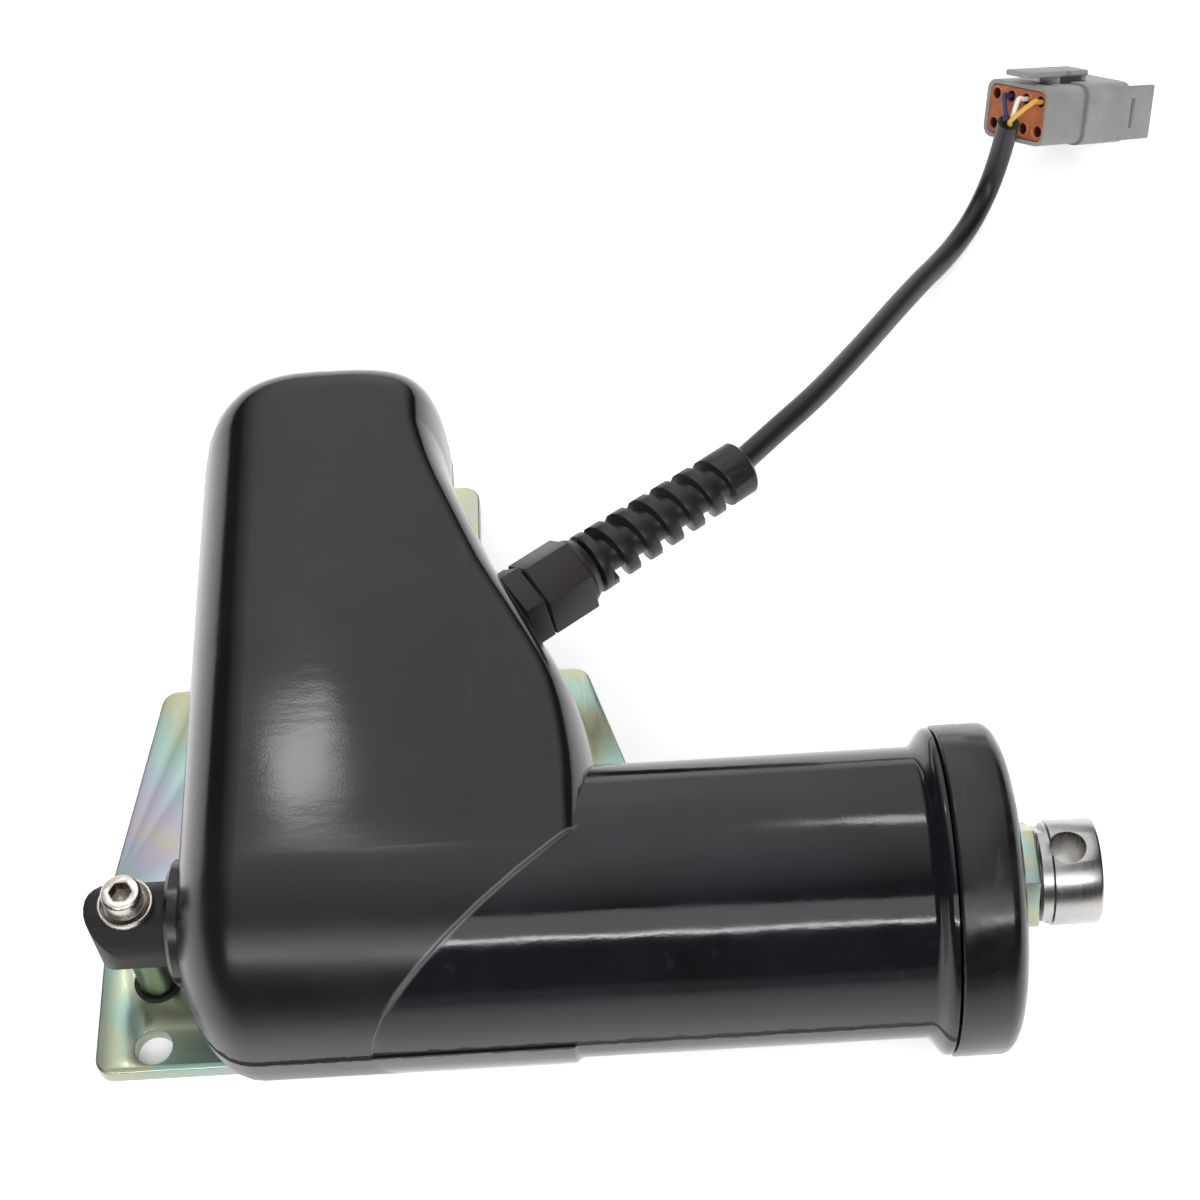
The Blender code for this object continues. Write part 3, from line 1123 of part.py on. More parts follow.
def build():
    clear_scene()
    materials = {name: finish(name, *look) for name, look in FINISHES.items()}
    carrier = empty("plate_origin", (0, 0, 0), None)
    swivel = empty("rear_swivel_axis", (0, 0, AXIS_HEIGHT), carrier)
    slide = empty("rod_axis", (ROD_START, 0, AXIS_HEIGHT), swivel)
    screw_axis = empty("screw_axis", (WHEEL_X, 0, AXIS_HEIGHT), swivel)
    worm_axis = empty("motor_axis", (WHEEL_X, 0, MOTOR_HEIGHT), swivel)
    bpy.context.view_layer.update()
    plate(materials["zinc"], carrier)
    pivot(materials, carrier)
    rear_eye(materials, swivel)
    upper = housing("upper_housing", 1, materials["satin_black"], swivel)
    lower = housing("lower_housing", -1, materials["satin_black"], swivel)
    for shell, word in ((upper, "upper"), (lower, "lower")):
        gland_hole(shell, word)
    case_screws(materials["zinc"], upper, lower, swivel)
    end_cap(materials, swivel)
    rod_parts(materials, slide)
    screw_and_gears(materials, screw_axis, worm_axis)
    motor_parts(materials, swivel, worm_axis)
    screw_bearing(materials, swivel)
    nut_end = gland_parts(materials, swivel)
    relief_end = strain_relief(materials["rubber"], swivel, nut_end)
    plug_parts(materials, swivel)
    cable_parts(materials, swivel, relief_end)


build()
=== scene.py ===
# %% [markdown]
# A throttle actuator: a motor cover beside a round screw cover, a push rod with a cross-hole
# end, a pivot on a zinc-plated plate, and a lead with an eight-way plug.
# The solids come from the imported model, which is loaded first. Everything after that is looks:
# smooth skins over the solids, fine forms, finishes, light and camera.

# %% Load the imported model
import json
from math import cos, radians, sin

import bpy
from mathutils import Matrix, Vector

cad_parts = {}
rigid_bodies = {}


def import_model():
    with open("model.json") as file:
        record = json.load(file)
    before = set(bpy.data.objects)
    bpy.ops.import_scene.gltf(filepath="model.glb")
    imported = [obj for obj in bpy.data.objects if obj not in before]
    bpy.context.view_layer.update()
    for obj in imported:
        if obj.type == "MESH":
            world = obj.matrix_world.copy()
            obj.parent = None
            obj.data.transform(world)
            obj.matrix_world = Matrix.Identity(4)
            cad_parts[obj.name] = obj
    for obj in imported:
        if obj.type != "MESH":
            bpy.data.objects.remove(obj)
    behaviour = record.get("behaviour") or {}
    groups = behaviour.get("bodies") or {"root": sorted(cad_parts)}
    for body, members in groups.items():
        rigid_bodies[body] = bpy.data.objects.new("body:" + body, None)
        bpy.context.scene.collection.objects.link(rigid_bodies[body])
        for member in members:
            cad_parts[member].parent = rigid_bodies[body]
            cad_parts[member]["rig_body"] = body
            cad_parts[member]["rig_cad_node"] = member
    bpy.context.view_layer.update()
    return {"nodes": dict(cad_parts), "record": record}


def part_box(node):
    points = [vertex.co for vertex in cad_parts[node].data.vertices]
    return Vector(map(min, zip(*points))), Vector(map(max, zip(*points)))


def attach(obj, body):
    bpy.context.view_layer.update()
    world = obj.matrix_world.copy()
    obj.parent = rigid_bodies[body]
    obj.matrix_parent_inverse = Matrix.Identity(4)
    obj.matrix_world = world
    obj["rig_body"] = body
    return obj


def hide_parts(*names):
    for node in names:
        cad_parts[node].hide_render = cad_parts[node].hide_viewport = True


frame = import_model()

nodes = frame["nodes"]
body_of_node = {name: body for body, names in frame["record"]["behaviour"]["bodies"].items()
                for name in names}
slot_of_node = {part["node"]: part["material_slot"] for part in frame["record"]["subparts"]}

# %% [markdown]
# The camera comes first, because every later choice is judged through it. Its place was solved
# from the photograph. It looks down steeply and leans a little to one side, so the matrix is
# written out by its three axes instead of by angles.

# %% Camera at the photograph's place
LENS_MM = 70.94
SENSOR_MM = 36.0
CAMERA_PLACE = Vector((0.1267, -0.2809, 0.5622))
CAMERA_RIGHT = Vector((0.99820529, -0.04311722, -0.04155842))
CAMERA_UP = Vector((0.05919915, 0.81519856, 0.57614822))
CAMERA_BACK = Vector((0.00903645, -0.57757442, 0.81628802))
PART_MIDDLE = Vector((0.12, 0.10, 0.03))

camera_data = bpy.data.cameras.new("camera")
camera_data.lens = LENS_MM
camera_data.sensor_width = SENSOR_MM
camera_data.clip_start = 0.02
camera = bpy.data.objects.new("camera", camera_data)
bpy.context.scene.collection.objects.link(camera)
camera.matrix_world = (Matrix.Translation(CAMERA_PLACE)
                       @ Matrix((CAMERA_RIGHT, CAMERA_UP, CAMERA_BACK)).transposed().to_4x4())
bpy.context.scene.camera = camera
print("camera", round((CAMERA_PLACE - PART_MIDDLE).length, 3), "m from the part")

# %% [markdown]
# The lead is a real length of cable: it leaves the relief, sinks to the ground, rests there half
# way and rises, stiff, into the plug that lies nose down. It comes early, because a lead that
# spreads too far would change the solids. Its points are the ones that the solid follows. One
# smooth curve through them, with a round bevel, gives a tube with an even skin.

# %% Cable
GLAND_FOOT = Vector((0.0968, 0.0859, 0.0400))
GLAND_ANGLE = radians(34.7)
GLAND_WAY = Vector((cos(GLAND_ANGLE), sin(GLAND_ANGLE), 0.0))
GLAND_SIDE = Vector((-sin(GLAND_ANGLE), cos(GLAND_ANGLE), 0.0))
RELIEF_END = 0.0800
EXIT_ASIDE = 0.0012         # the cable leans to one side of the relief's mouth
CABLE_EXIT = GLAND_FOOT + GLAND_WAY * RELIEF_END + GLAND_SIDE * EXIT_ASIDE
CABLE_RADIUS = 0.0035
CABLE_ROUTE = [CABLE_EXIT] + [Vector(point) for point in (
    (0.1749, 0.1475, 0.0369), (0.1828, 0.1567, 0.0348), (0.1899, 0.1663, 0.0318),
    (0.1965, 0.1762, 0.0284), (0.2028, 0.1861, 0.0248), (0.2089, 0.1959, 0.0213),
    (0.2150, 0.2058, 0.0178), (0.2211, 0.2157, 0.0141), (0.2274, 0.2257, 0.0102),
    (0.2340, 0.2357, 0.0063), (0.2407, 0.2458, 0.0038), (0.2474, 0.2557, 0.0044),
    (0.2531, 0.2640, 0.0100), (0.2565, 0.2681, 0.0210), (0.2579, 0.2686, 0.0333))]


def smooth_curve(points, steps):
    """A Catmull-Rom curve through the points, as the solid's route is made."""
    path = [points[0] * 2 - points[1], *points, points[-1] * 2 - points[-2]]
    curve = []
    for p0, p1, p2, p3 in zip(path, path[1:], path[2:], path[3:]):
        for k in range(steps):
            t = k / steps
            curve.append(0.5 * (2 * p1 + (p2 - p0) * t + (2 * p0 - 5 * p1 + 4 * p2 - p3) * t ** 2
                                + (3 * p1 - p0 - 3 * p2 + p3) * t ** 3))
    curve.append(path[-2])
    return curve


def tube(name, path, radius, resolution):
    """A round cord along a path, as one curve object with closed ends."""
    curve = bpy.data.curves.new(name, "CURVE")
    curve.dimensions = "3D"
    curve.bevel_depth = 1.0          # each point's own radius gives the thickness
    curve.bevel_resolution = resolution
    curve.use_fill_caps = True
    spline = curve.splines.new("POLY")
    spline.points.add(len(path) - 1)
    for knot, point in zip(spline.points, path):
        knot.co = (*point, 1.0)
        knot.radius = radius
    spline.use_smooth = True
    piece = bpy.data.objects.new(name, curve)
    bpy.context.scene.collection.objects.link(piece)
    return piece


CURVE_STEPS = 6
cable_path = smooth_curve(CABLE_ROUTE, CURVE_STEPS)
cable = tube("cable_skin", cable_path, CABLE_RADIUS, resolution=5)
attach(cable, "actuator")
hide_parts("cable")

# %% [markdown]
# Operators act on whatever is selected, so each step starts from a clean selection. These small
# helpers select one piece, open it in edit mode and close it again.

# %% Selection helpers
def select_only(piece):
    """Leave one piece selected and active, in object mode."""
    if bpy.context.object and bpy.context.object.mode != "OBJECT":
        bpy.ops.object.mode_set(mode="OBJECT")
    bpy.ops.object.select_all(action="DESELECT")
    piece.hide_viewport = False
    piece.select_set(True)
    bpy.context.view_layer.objects.active = piece


def edit_all(piece):
    """Open a piece in edit mode with all of it selected."""
    select_only(piece)
    bpy.ops.object.mode_set(mode="EDIT")
    bpy.ops.mesh.select_all(action="SELECT")


def close_edit():
    bpy.ops.object.mode_set(mode="OBJECT")


def apply_place(piece):
    """Move a piece's place, turn and size into its mesh."""
    select_only(piece)
    bpy.ops.object.transform_apply(location=True, rotation=True, scale=True)


def triangles(piece):
    piece.data.calc_loop_triangles()
    return len(piece.data.loop_triangles)

# %% [markdown]
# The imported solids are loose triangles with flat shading. For a moulded or turned surface that
# shows every facet. A skin is a copy of the solid with its doubles merged, its flat areas made
# one face again, its edges softened by a small bevel, and smooth shading up to an angle.
# It stands for the solid, so the solid itself is hidden.

# %% Smooth skins over solids
MERGE_DISTANCE = 0.000002
FLAT_ANGLE = radians(0.4)
BEVEL_SEGMENTS = 2


def skin(node, angle, bevel=0.0, bevel_angle=35.0):
    """A merged, softened and smooth copy of one solid, which it replaces."""
    piece = nodes[node].copy()
    piece.data = nodes[node].data.copy()
    piece.name = node + "_skin"
    piece.parent = None
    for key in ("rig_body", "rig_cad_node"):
        if key in piece:
            del piece[key]
    bpy.context.scene.collection.objects.link(piece)
    edit_all(piece)
    bpy.ops.mesh.remove_doubles(threshold=MERGE_DISTANCE)
    bpy.ops.mesh.dissolve_limited(angle_limit=FLAT_ANGLE)
    close_edit()
    if piece.data.has_custom_normals:
        bpy.ops.mesh.customdata_custom_splitnormals_clear()
    if bevel > 0:
        edge = piece.modifiers.new("soft edge", "BEVEL")
        edge.width = bevel
        edge.segments = BEVEL_SEGMENTS
        edge.limit_method = "ANGLE"
        edge.angle_limit = radians(bevel_angle)
        edge.use_clamp_overlap = True
        bpy.ops.object.modifier_apply(modifier=edge.name)
    bpy.ops.object.shade_smooth_by_angle(angle=radians(angle))
    piece.data.materials.clear()
    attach(piece, body_of_node[node])
    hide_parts(node)
    return piece


skins = {}
skin_settings = {
    "mounting_plate": dict(angle=50, bevel=0.0004, bevel_angle=50.0),
    "upper_housing": dict(angle=32),
    "lower_housing": dict(angle=32),
    "end_cap": dict(angle=32, bevel=0.0004),
    "rear_eye": dict(angle=40, bevel=0.0005),
    "pivot_post": dict(angle=40),
    "pivot_washer": dict(angle=40, bevel=0.00015),
    "pivot_screw": dict(angle=40, bevel=0.00025),
    "jam_nut": dict(angle=25, bevel=0.0002),
    "rod_end": dict(angle=40, bevel=0.0003),
    "push_rod": dict(angle=40),
    "gland_body": dict(angle=25, bevel=0.0004),
    "gland_nut": dict(angle=25, bevel=0.0005),
    "strain_relief": dict(angle=42, bevel=0.0007, bevel_angle=50.0),
    "plug_body": dict(angle=40, bevel=0.0004),
    "plug_seal": dict(angle=40, bevel=0.0002),
    "plug_wedge": dict(angle=40, bevel=0.0003),
}
for node, settings in skin_settings.items():
    skins[node] = skin(node, **settings)
    print(node, "skin", triangles(skins[node]), "triangles")

# %% [markdown]
# The pivot post is pressed through the plate. A thin dark ring round its foot is painted contact
# shadow; a torus, flattened a little, is enough for it.

# %% Painted shadow ring at the post's foot
PLATE_TOP = 0.0050
SHADOW_RING_RADIUS = 0.0056
SHADOW_RING_THICK = 0.0007
SHADOW_RING_FLATTENING = 0.6
SHADOW_RING_HEIGHT = PLATE_TOP + SHADOW_RING_THICK * 0.3      # sunk a little into the plate
bpy.ops.object.select_all(action="DESELECT")
# painted contact shadow: a flattened dark ring round the post's foot
bpy.ops.mesh.primitive_torus_add(major_radius=SHADOW_RING_RADIUS, minor_radius=SHADOW_RING_THICK,
                                 major_segments=48, minor_segments=12,
                                 location=(0, 0, SHADOW_RING_HEIGHT))
post_foot_shadow_ring = bpy.context.object
post_foot_shadow_ring.name = "post_foot_shadow_ring"
post_foot_shadow_ring.scale.z = SHADOW_RING_FLATTENING
apply_place(post_foot_shadow_ring)
bpy.ops.object.shade_smooth()
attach(post_foot_shadow_ring, "plate")
print("collar", triangles(post_foot_shadow_ring), "triangles")

# %% [markdown]
# The nut behind the rod end is screwed up hard, so the two meet on the rod's thread. Seen from
# the camera the nut shows a few millimetres of its flats: they are drawn out along the rod, and
# the neck of the rod end is drawn back by nearly the same step, so the two don't meet.

# %% Nut and neck
NUT_GROWTH = 0.0036
NECK_CUT = 0.0034
NUT_MIDDLE_X = 0.2200
NECK_START_X = 0.2240


def is_nut_front(x):
    return x > NUT_MIDDLE_X


def is_neck_back(x):
    return x < NECK_START_X


for node, inside, shift in (("jam_nut", is_nut_front, NUT_GROWTH),
                            ("rod_end", is_neck_back, NECK_CUT)):
    piece = skins[node]
    edit_all(piece)
    bpy.ops.mesh.select_mode(type="VERT")
    bpy.ops.mesh.select_all(action="DESELECT")
    bpy.ops.object.mode_set(mode="OBJECT")
    for vertex in piece.data.vertices:
        vertex.select = inside(vertex.co.x)
    moved = sum(vertex.select for vertex in piece.data.vertices)
    bpy.ops.object.mode_set(mode="EDIT")
    bpy.ops.transform.translate(value=(shift, 0, 0))
    close_edit()
    print(node, moved, "points moved")

# %% [markdown]
# Three thin wires bridge the last millimetres from the cable's cut end to the holes in the
# plug's seal. They fan out from a triangle at the cut, so that none runs through another.

# %% Plug's own frame
PLUG_TURN = radians(29.8)
PLUG_DIP = radians(25.0)
PLUG_ROLL = radians(-25.3)
PLUG_REAR = Vector((0.2615, 0.2759, 0.0305))
PLUG_HEIGHT = 0.0184
PLUG_REAR_LENGTH = 0.0180
CAVITY_PITCH = 0.0062
CAVITY_UP = 0.0047
CAVITY_RADIUS = 0.0018


def plug_frame():
    """Local +Z runs into the plug from the middle of its rear face, local +Y is its top."""
    way = Vector((cos(PLUG_TURN) * cos(PLUG_DIP), sin(PLUG_TURN) * cos(PLUG_DIP), -sin(PLUG_DIP)))
    top = (Vector((0, 0, 1)) - way * way.z).normalized()
    across = top.cross(way)
    turn = Matrix((across, top, way)).transposed().to_4x4()
    return Matrix.Translation(PLUG_REAR) @ turn @ Matrix.Rotation(PLUG_ROLL, 4, "Z")


plug = plug_frame()
cavities = [((column - 1.5) * CAVITY_PITCH, row) for row in (-CAVITY_UP, CAVITY_UP) for column in range(4)]
print("plug's rear", tuple(round(x, 4) for x in plug.translation))

# %% Wires
WIRE_RADIUS = 0.0008
WIRE_SPREAD = 0.0014
WIRE_STRAIGHT = 0.002
HOLE_DEPTH = 0.0030
GAP = 0.0003
stop = cable_path[-1]
forward = (cable_path[-1] - cable_path[-2]).normalized()
across = plug.to_3x3() @ Vector((1, 0, 0))
across = (across - forward * across.dot(forward)).normalized()
above = across.cross(forward)
wires = {}
for name, hole, angle in (("wire_white", 5, 90), ("wire_yellow", 4, 210), ("wire_blue", 6, 330)):
    x, y = cavities[hole]
    shift = (across * cos(radians(angle)) + above * sin(radians(angle))) * WIRE_SPREAD
    start = stop + forward * GAP + shift
    points = [start, start + forward * WIRE_STRAIGHT, plug @ Vector((x, y, -HOLE_DEPTH)),
              plug @ Vector((x, y, -0.0004)), plug @ Vector((x, y, HOLE_DEPTH))]
    wires[name] = tube(name + "_skin", smooth_curve(points, CURVE_STEPS), WIRE_RADIUS, resolution=3)
    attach(wires[name], "actuator")
    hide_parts(name)
print(len(wires), "wires")

# %% [markdown]
# The seal is soft silicone with a low moulded lip round each hole. One lip is a torus, flattened
# and copied to the eight places.

# %% Lips on the seal
LIP_RADIUS = CAVITY_RADIUS + 0.00045
LIP_THICK = 0.00042
LIP_FLATTENING = 0.7
LIP_HEIGHT = 0.0004
lips = []
for x, y in cavities:
    place = plug @ Matrix.Translation((x, y, LIP_HEIGHT))
    bpy.ops.object.select_all(action="DESELECT")
    bpy.ops.mesh.primitive_torus_add(major_radius=LIP_RADIUS, minor_radius=LIP_THICK,
                                     major_segments=28, minor_segments=10)
    lip = bpy.context.object
    lip.matrix_world = place @ Matrix.Diagonal((1, 1, LIP_FLATTENING, 1))
    apply_place(lip)
    lips.append(lip)
for lip in lips:
    lip.select_set(True)
bpy.context.view_layer.objects.active = lips[0]
bpy.ops.object.join()
seal_lips = lips[0]
seal_lips.name = "seal_lips"
bpy.ops.object.shade_smooth()
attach(seal_lips, "actuator")
print("lips", triangles(seal_lips), "triangles")

# %% [markdown]
# Finishes. Two shader groups do most of the work. The first gives a moulded or painted surface
# slow blotches, fine grain and faint scuffs. The second gives worked metal a stretched grain.
# A group holds only colours and values: the shader stays in each material.

# %% Node helpers
def feed(tree, socket, value):
    """Link a socket to another node's output, or set it to a plain value."""
    if isinstance(value, bpy.types.NodeSocket):
        tree.links.new(value, socket)
    else:
        socket.default_value = value


def add_node(tree, kind, settings=None, inputs=None):
    """Add one node, set its properties, and set or link its inputs."""
    made = tree.nodes.new(kind)
    for name, value in (settings or {}).items():
        setattr(made, name, value)
    for name, value in (inputs or {}).items():
        feed(tree, made.inputs[name], value)
    return made


def new_group(name, inputs, outputs):
    """A shader group with its named sockets."""
    group = bpy.data.node_groups.new(name, "ShaderNodeTree")
    for label, kind, value in inputs:
        socket = group.interface.new_socket(name=label, in_out="INPUT", socket_type=kind)
        socket.default_value = value
    for label, kind in outputs:
        group.interface.new_socket(name=label, in_out="OUTPUT", socket_type=kind)
    return group, group.nodes.new("NodeGroupInput"), group.nodes.new("NodeGroupOutput")


def remap(tree, value, low, high, new_low, new_high, way="LINEAR"):
    """Stretch a value from one range to another, clamped."""
    return add_node(tree, "ShaderNodeMapRange", {"clamp": True, "interpolation_type": way}, {
        "Value": value, "From Min": low, "From Max": high, "To Min": new_low, "To Max": new_high,
    }).outputs["Result"]


def mix_colour(tree, factor, first, second):
    made = add_node(tree, "ShaderNodeMix", {"data_type": "RGBA"})
    feed(tree, made.inputs[0], factor)
    feed(tree, made.inputs[6], first)
    feed(tree, made.inputs[7], second)
    return made.outputs[2]


def mix_value(tree, factor, first, second):
    made = add_node(tree, "ShaderNodeMix", {"data_type": "FLOAT"})
    feed(tree, made.inputs[0], factor)
    feed(tree, made.inputs[2], first)
    feed(tree, made.inputs[3], second)
    return made.outputs[0]


def maths(tree, operation, first, second=0.0):
    made = add_node(tree, "ShaderNodeMath", {"operation": operation})
    feed(tree, made.inputs[0], first)
    feed(tree, made.inputs[1], second)
    return made.outputs[0]


def multiply(tree, first, second):
    return maths(tree, "MULTIPLY", first, second)


def separate(tree, vector):
    """The X, Y and Z of a vector, by name."""
    return add_node(tree, "ShaderNodeSeparateXYZ", None, {"Vector": vector}).outputs


def object_place(tree):
    return add_node(tree, "ShaderNodeTexCoord").outputs["Object"]


def noise(tree, vector, scale, detail=3.0, roughness=0.55, distortion=0.0):
    return add_node(tree, "ShaderNodeTexNoise", None, {
        "Vector": vector, "Scale": scale, "Detail": detail, "Roughness": roughness,
        "Distortion": distortion}).outputs["Fac"]

# %% Group: moulded surface
moulded_group, taken, given = new_group("moulded surface", [
    ("Colour", "NodeSocketColor", (0.05, 0.05, 0.05, 1)),
    ("Second Colour", "NodeSocketColor", (0.07, 0.07, 0.07, 1)),
    ("Blotch Scale", "NodeSocketFloat", 25.0),
    ("Grain Scale", "NodeSocketFloat", 1500.0),
    ("Scuff Scale", "NodeSocketFloat", 160.0),
    ("Scuff Light", "NodeSocketFloat", 0.02),
    ("Low Roughness", "NodeSocketFloat", 0.35),
    ("High Roughness", "NodeSocketFloat", 0.50),
], [("Colour", "NodeSocketColor"), ("Roughness", "NodeSocketFloat"), ("Height", "NodeSocketFloat")])
tree = moulded_group
here = object_place(tree)
blotch = remap(tree, noise(tree, here, taken.outputs["Blotch Scale"], 4.0, 0.6), 0.25, 0.75, 0, 1,
               "SMOOTHSTEP")
grain = noise(tree, here, taken.outputs["Grain Scale"], 2.0)
stretched = add_node(tree, "ShaderNodeMapping", None, {
    "Vector": here, "Rotation": (0.3, 0.2, 0.7), "Scale": (1.0, 0.08, 1.0)}).outputs["Vector"]
scuff = remap(tree, noise(tree, stretched, taken.outputs["Scuff Scale"], 5.0, 0.7), 0.62, 0.78, 0, 1)
base = mix_colour(tree, blotch, taken.outputs["Colour"], taken.outputs["Second Colour"])
lighter = multiply(tree, scuff, taken.outputs["Scuff Light"])
shade = mix_colour(tree, lighter, base, (0.8, 0.8, 0.8, 1))
tree.links.new(shade, given.inputs["Colour"])
rough = add_node(tree, "ShaderNodeMapRange", {"clamp": True}, {
    "Value": blotch, "To Min": taken.outputs["Low Roughness"], "To Max": taken.outputs["High Roughness"]})
tree.links.new(maths(tree, "ADD", rough.outputs["Result"], multiply(tree, scuff, 0.08)),
               given.inputs["Roughness"])
tree.links.new(grain, given.inputs["Height"])
print(moulded_group.name, len(tree.nodes), "nodes")

# %% Group: worked metal
metal_group, taken, given = new_group("worked metal", [
    ("Colour", "NodeSocketColor", (0.6, 0.6, 0.6, 1)),
    ("Second Colour", "NodeSocketColor", (0.7, 0.7, 0.7, 1)),
    ("Stretch", "NodeSocketVector", (1.0, 1.0, 1.0)),
    ("Grain Scale", "NodeSocketFloat", 600.0),
    ("Blotch Scale", "NodeSocketFloat", 40.0),
    ("Low Roughness", "NodeSocketFloat", 0.2),
    ("High Roughness", "NodeSocketFloat", 0.35),
], [("Colour", "NodeSocketColor"), ("Roughness", "NodeSocketFloat"), ("Height", "NodeSocketFloat")])
tree = metal_group
here = object_place(tree)
blotch = remap(tree, noise(tree, here, taken.outputs["Blotch Scale"], 4.0, 0.6), 0.25, 0.75, 0, 1,
               "SMOOTHSTEP")
stretched = add_node(tree, "ShaderNodeMapping", None, {
    "Vector": here, "Scale": taken.outputs["Stretch"]}).outputs["Vector"]
grain = noise(tree, stretched, taken.outputs["Grain Scale"], 4.0, 0.65)
worked = remap(tree, grain, 0.3, 0.7, 0, 1)
tree.links.new(mix_colour(tree, blotch, taken.outputs["Colour"], taken.outputs["Second Colour"]),
               given.inputs["Colour"])
rough = add_node(tree, "ShaderNodeMapRange", {"clamp": True}, {
    "Value": multiply(tree, maths(tree, "ADD", blotch, worked), 0.5),
    "To Min": taken.outputs["Low Roughness"], "To Max": taken.outputs["High Roughness"]})
tree.links.new(rough.outputs["Result"], given.inputs["Roughness"])
tree.links.new(worked, given.inputs["Height"])
print(metal_group.name, len(tree.nodes), "nodes")

# %% [markdown]
# Each finish is one short call: which group it uses, its two colours, and how rough and how deep
# its grain is. Constants such as metal or plastic are set on the shader itself.

# %% Material makers
PLASTIC_GRAIN_DEPTH = 0.0002
METAL_GRAIN_DEPTH = 0.0001


def new_material(name):
    material = bpy.data.materials.new(name)
    material.use_nodes = True
    tree = material.node_tree
    return material, tree, tree.nodes["Principled BSDF"]


def use_group(tree, group, values):
    made = tree.nodes.new("ShaderNodeGroup")
    made.node_tree = group
    for name, value in values.items():
        made.inputs[name].default_value = value
    return made


def add_bump(tree, shader, height, strength, distance):
    bump = add_node(tree, "ShaderNodeBump", None, {
        "Height": height, "Strength": strength, "Distance": distance})
    tree.links.new(bump.outputs["Normal"], shader.inputs["Normal"])
    return bump


def moulded(name, colour, second, low, high, grain=1500.0, bump=0.12, blotch=25.0, scuff=0.02):
    """A moulded plastic, rubber or paint."""
    material, tree, shader = new_material(name)
    group = use_group(tree, moulded_group, {
        "Colour": (*colour, 1), "Second Colour": (*second, 1), "Blotch Scale": blotch,
        "Grain Scale": grain, "Scuff Light": scuff, "Low Roughness": low, "High Roughness": high})
    tree.links.new(group.outputs["Colour"], shader.inputs["Base Color"])
    tree.links.new(group.outputs["Roughness"], shader.inputs["Roughness"])
    add_bump(tree, shader, group.outputs["Height"], bump, PLASTIC_GRAIN_DEPTH)
    return material


def metal(name, colour, second, low, high, grain=600.0, bump=0.1):
    """A bare or plated metal."""
    material, tree, shader = new_material(name)
    group = use_group(tree, metal_group, {
        "Colour": (*colour, 1), "Second Colour": (*second, 1), "Grain Scale": grain,
        "Low Roughness": low, "High Roughness": high})
    tree.links.new(group.outputs["Colour"], shader.inputs["Base Color"])
    tree.links.new(group.outputs["Roughness"], shader.inputs["Roughness"])
    shader.inputs["Metallic"].default_value = 1.0
    add_bump(tree, shader, group.outputs["Height"], bump, METAL_GRAIN_DEPTH)
    return material


materials = {
    "eye_black": moulded("eye_black", (0.006, 0.0052, 0.0048), (0.012, 0.010, 0.009), 0.50, 0.66,
                         grain=2200.0, bump=0.2),
    "rubber": moulded("rubber", (0.025, 0.025, 0.025), (0.035, 0.035, 0.035), 0.55, 0.7),
    "relief_rubber": moulded("relief_rubber", (0.009, 0.010, 0.010), (0.016, 0.017, 0.017), 0.30, 0.42,
                             grain=1800.0, bump=0.15),
    "gland_black": moulded("gland_black", (0.016, 0.012, 0.012), (0.024, 0.019, 0.018), 0.34, 0.46,
                           grain=2600.0, bump=0.15),
    "cable_black": moulded("cable_black", (0.008, 0.008, 0.008), (0.014, 0.014, 0.014), 0.32, 0.44,
                           grain=2400.0, bump=0.12),
    "acetal": moulded("acetal", (0.78, 0.76, 0.70), (0.82, 0.80, 0.75), 0.4, 0.5),
    "wire_white": moulded("wire_white", (0.86, 0.85, 0.80), (0.80, 0.78, 0.72), 0.35, 0.45),
    "wire_yellow": moulded("wire_yellow", (0.80, 0.46, 0.06), (0.72, 0.38, 0.05), 0.35, 0.45),
    "wire_blue": moulded("wire_blue", (0.020, 0.028, 0.10), (0.030, 0.040, 0.14), 0.35, 0.45),
    "plug_grey": moulded("plug_grey", (0.28, 0.282, 0.272), (0.36, 0.362, 0.35), 0.38, 0.50,
                         grain=2600.0, bump=0.15, blotch=90.0),
    "seal_orange": moulded("seal_orange", (0.42, 0.115, 0.048), (0.54, 0.18, 0.075), 0.42, 0.56,
                           grain=1800.0, bump=0.2, blotch=180.0),
    "dark_zinc": metal("dark_zinc", (0.20, 0.25, 0.18), (0.30, 0.34, 0.26), 0.3, 0.45),
    "bright_steel": metal("bright_steel", (0.55, 0.515, 0.47), (0.66, 0.63, 0.59), 0.20, 0.36,
                          grain=900.0, bump=0.15),
    "alloy": metal("alloy", (0.50, 0.50, 0.51), (0.60, 0.60, 0.61), 0.4, 0.55),
    "bronze": metal("bronze", (0.52, 0.36, 0.17), (0.62, 0.44, 0.22), 0.3, 0.42),
    "copper": metal("copper", (0.60, 0.27, 0.13), (0.70, 0.35, 0.18), 0.3, 0.45),
}
print(len(materials), "plain finishes")

# %% [markdown]
# Three finishes know their place. Deep in the seal's holes the silicone is darkened as painted
# shade, and under the latch, where no light falls, the grey housing is painted nearly black as
# shade. Both places are measured along the plug's own three directions. The pivot screw's socket
# is darkened as painted shade as well, and its place is measured from the screw's axis, which runs through
# the origin.

# %% Painted shade in the plug's slots, the seal's holes and the screw's socket
def plug_measure(tree):
    """Distances from the plug's rear face along its own x, y and z."""
    offset = add_node(tree, "ShaderNodeVectorMath", {"operation": "SUBTRACT"})
    tree.links.new(object_place(tree), offset.inputs[0])
    offset.inputs[1].default_value = plug.translation
    values = []
    for axis in range(3):
        dot = add_node(tree, "ShaderNodeVectorMath", {"operation": "DOT_PRODUCT"})
        tree.links.new(offset.outputs[0], dot.inputs[0])
        dot.inputs[1].default_value = plug.to_3x3().col[axis]
        values.append(dot.outputs["Value"])
    return values


def between(tree, value, low, high, soft=0.0004):
    """One inside a range, fading out at both ends."""
    middle, half = (low + high) / 2, (high - low) / 2
    away = maths(tree, "ABSOLUTE", maths(tree, "SUBTRACT", value, middle))
    return remap(tree, away, half - soft, half + soft, 1, 0)


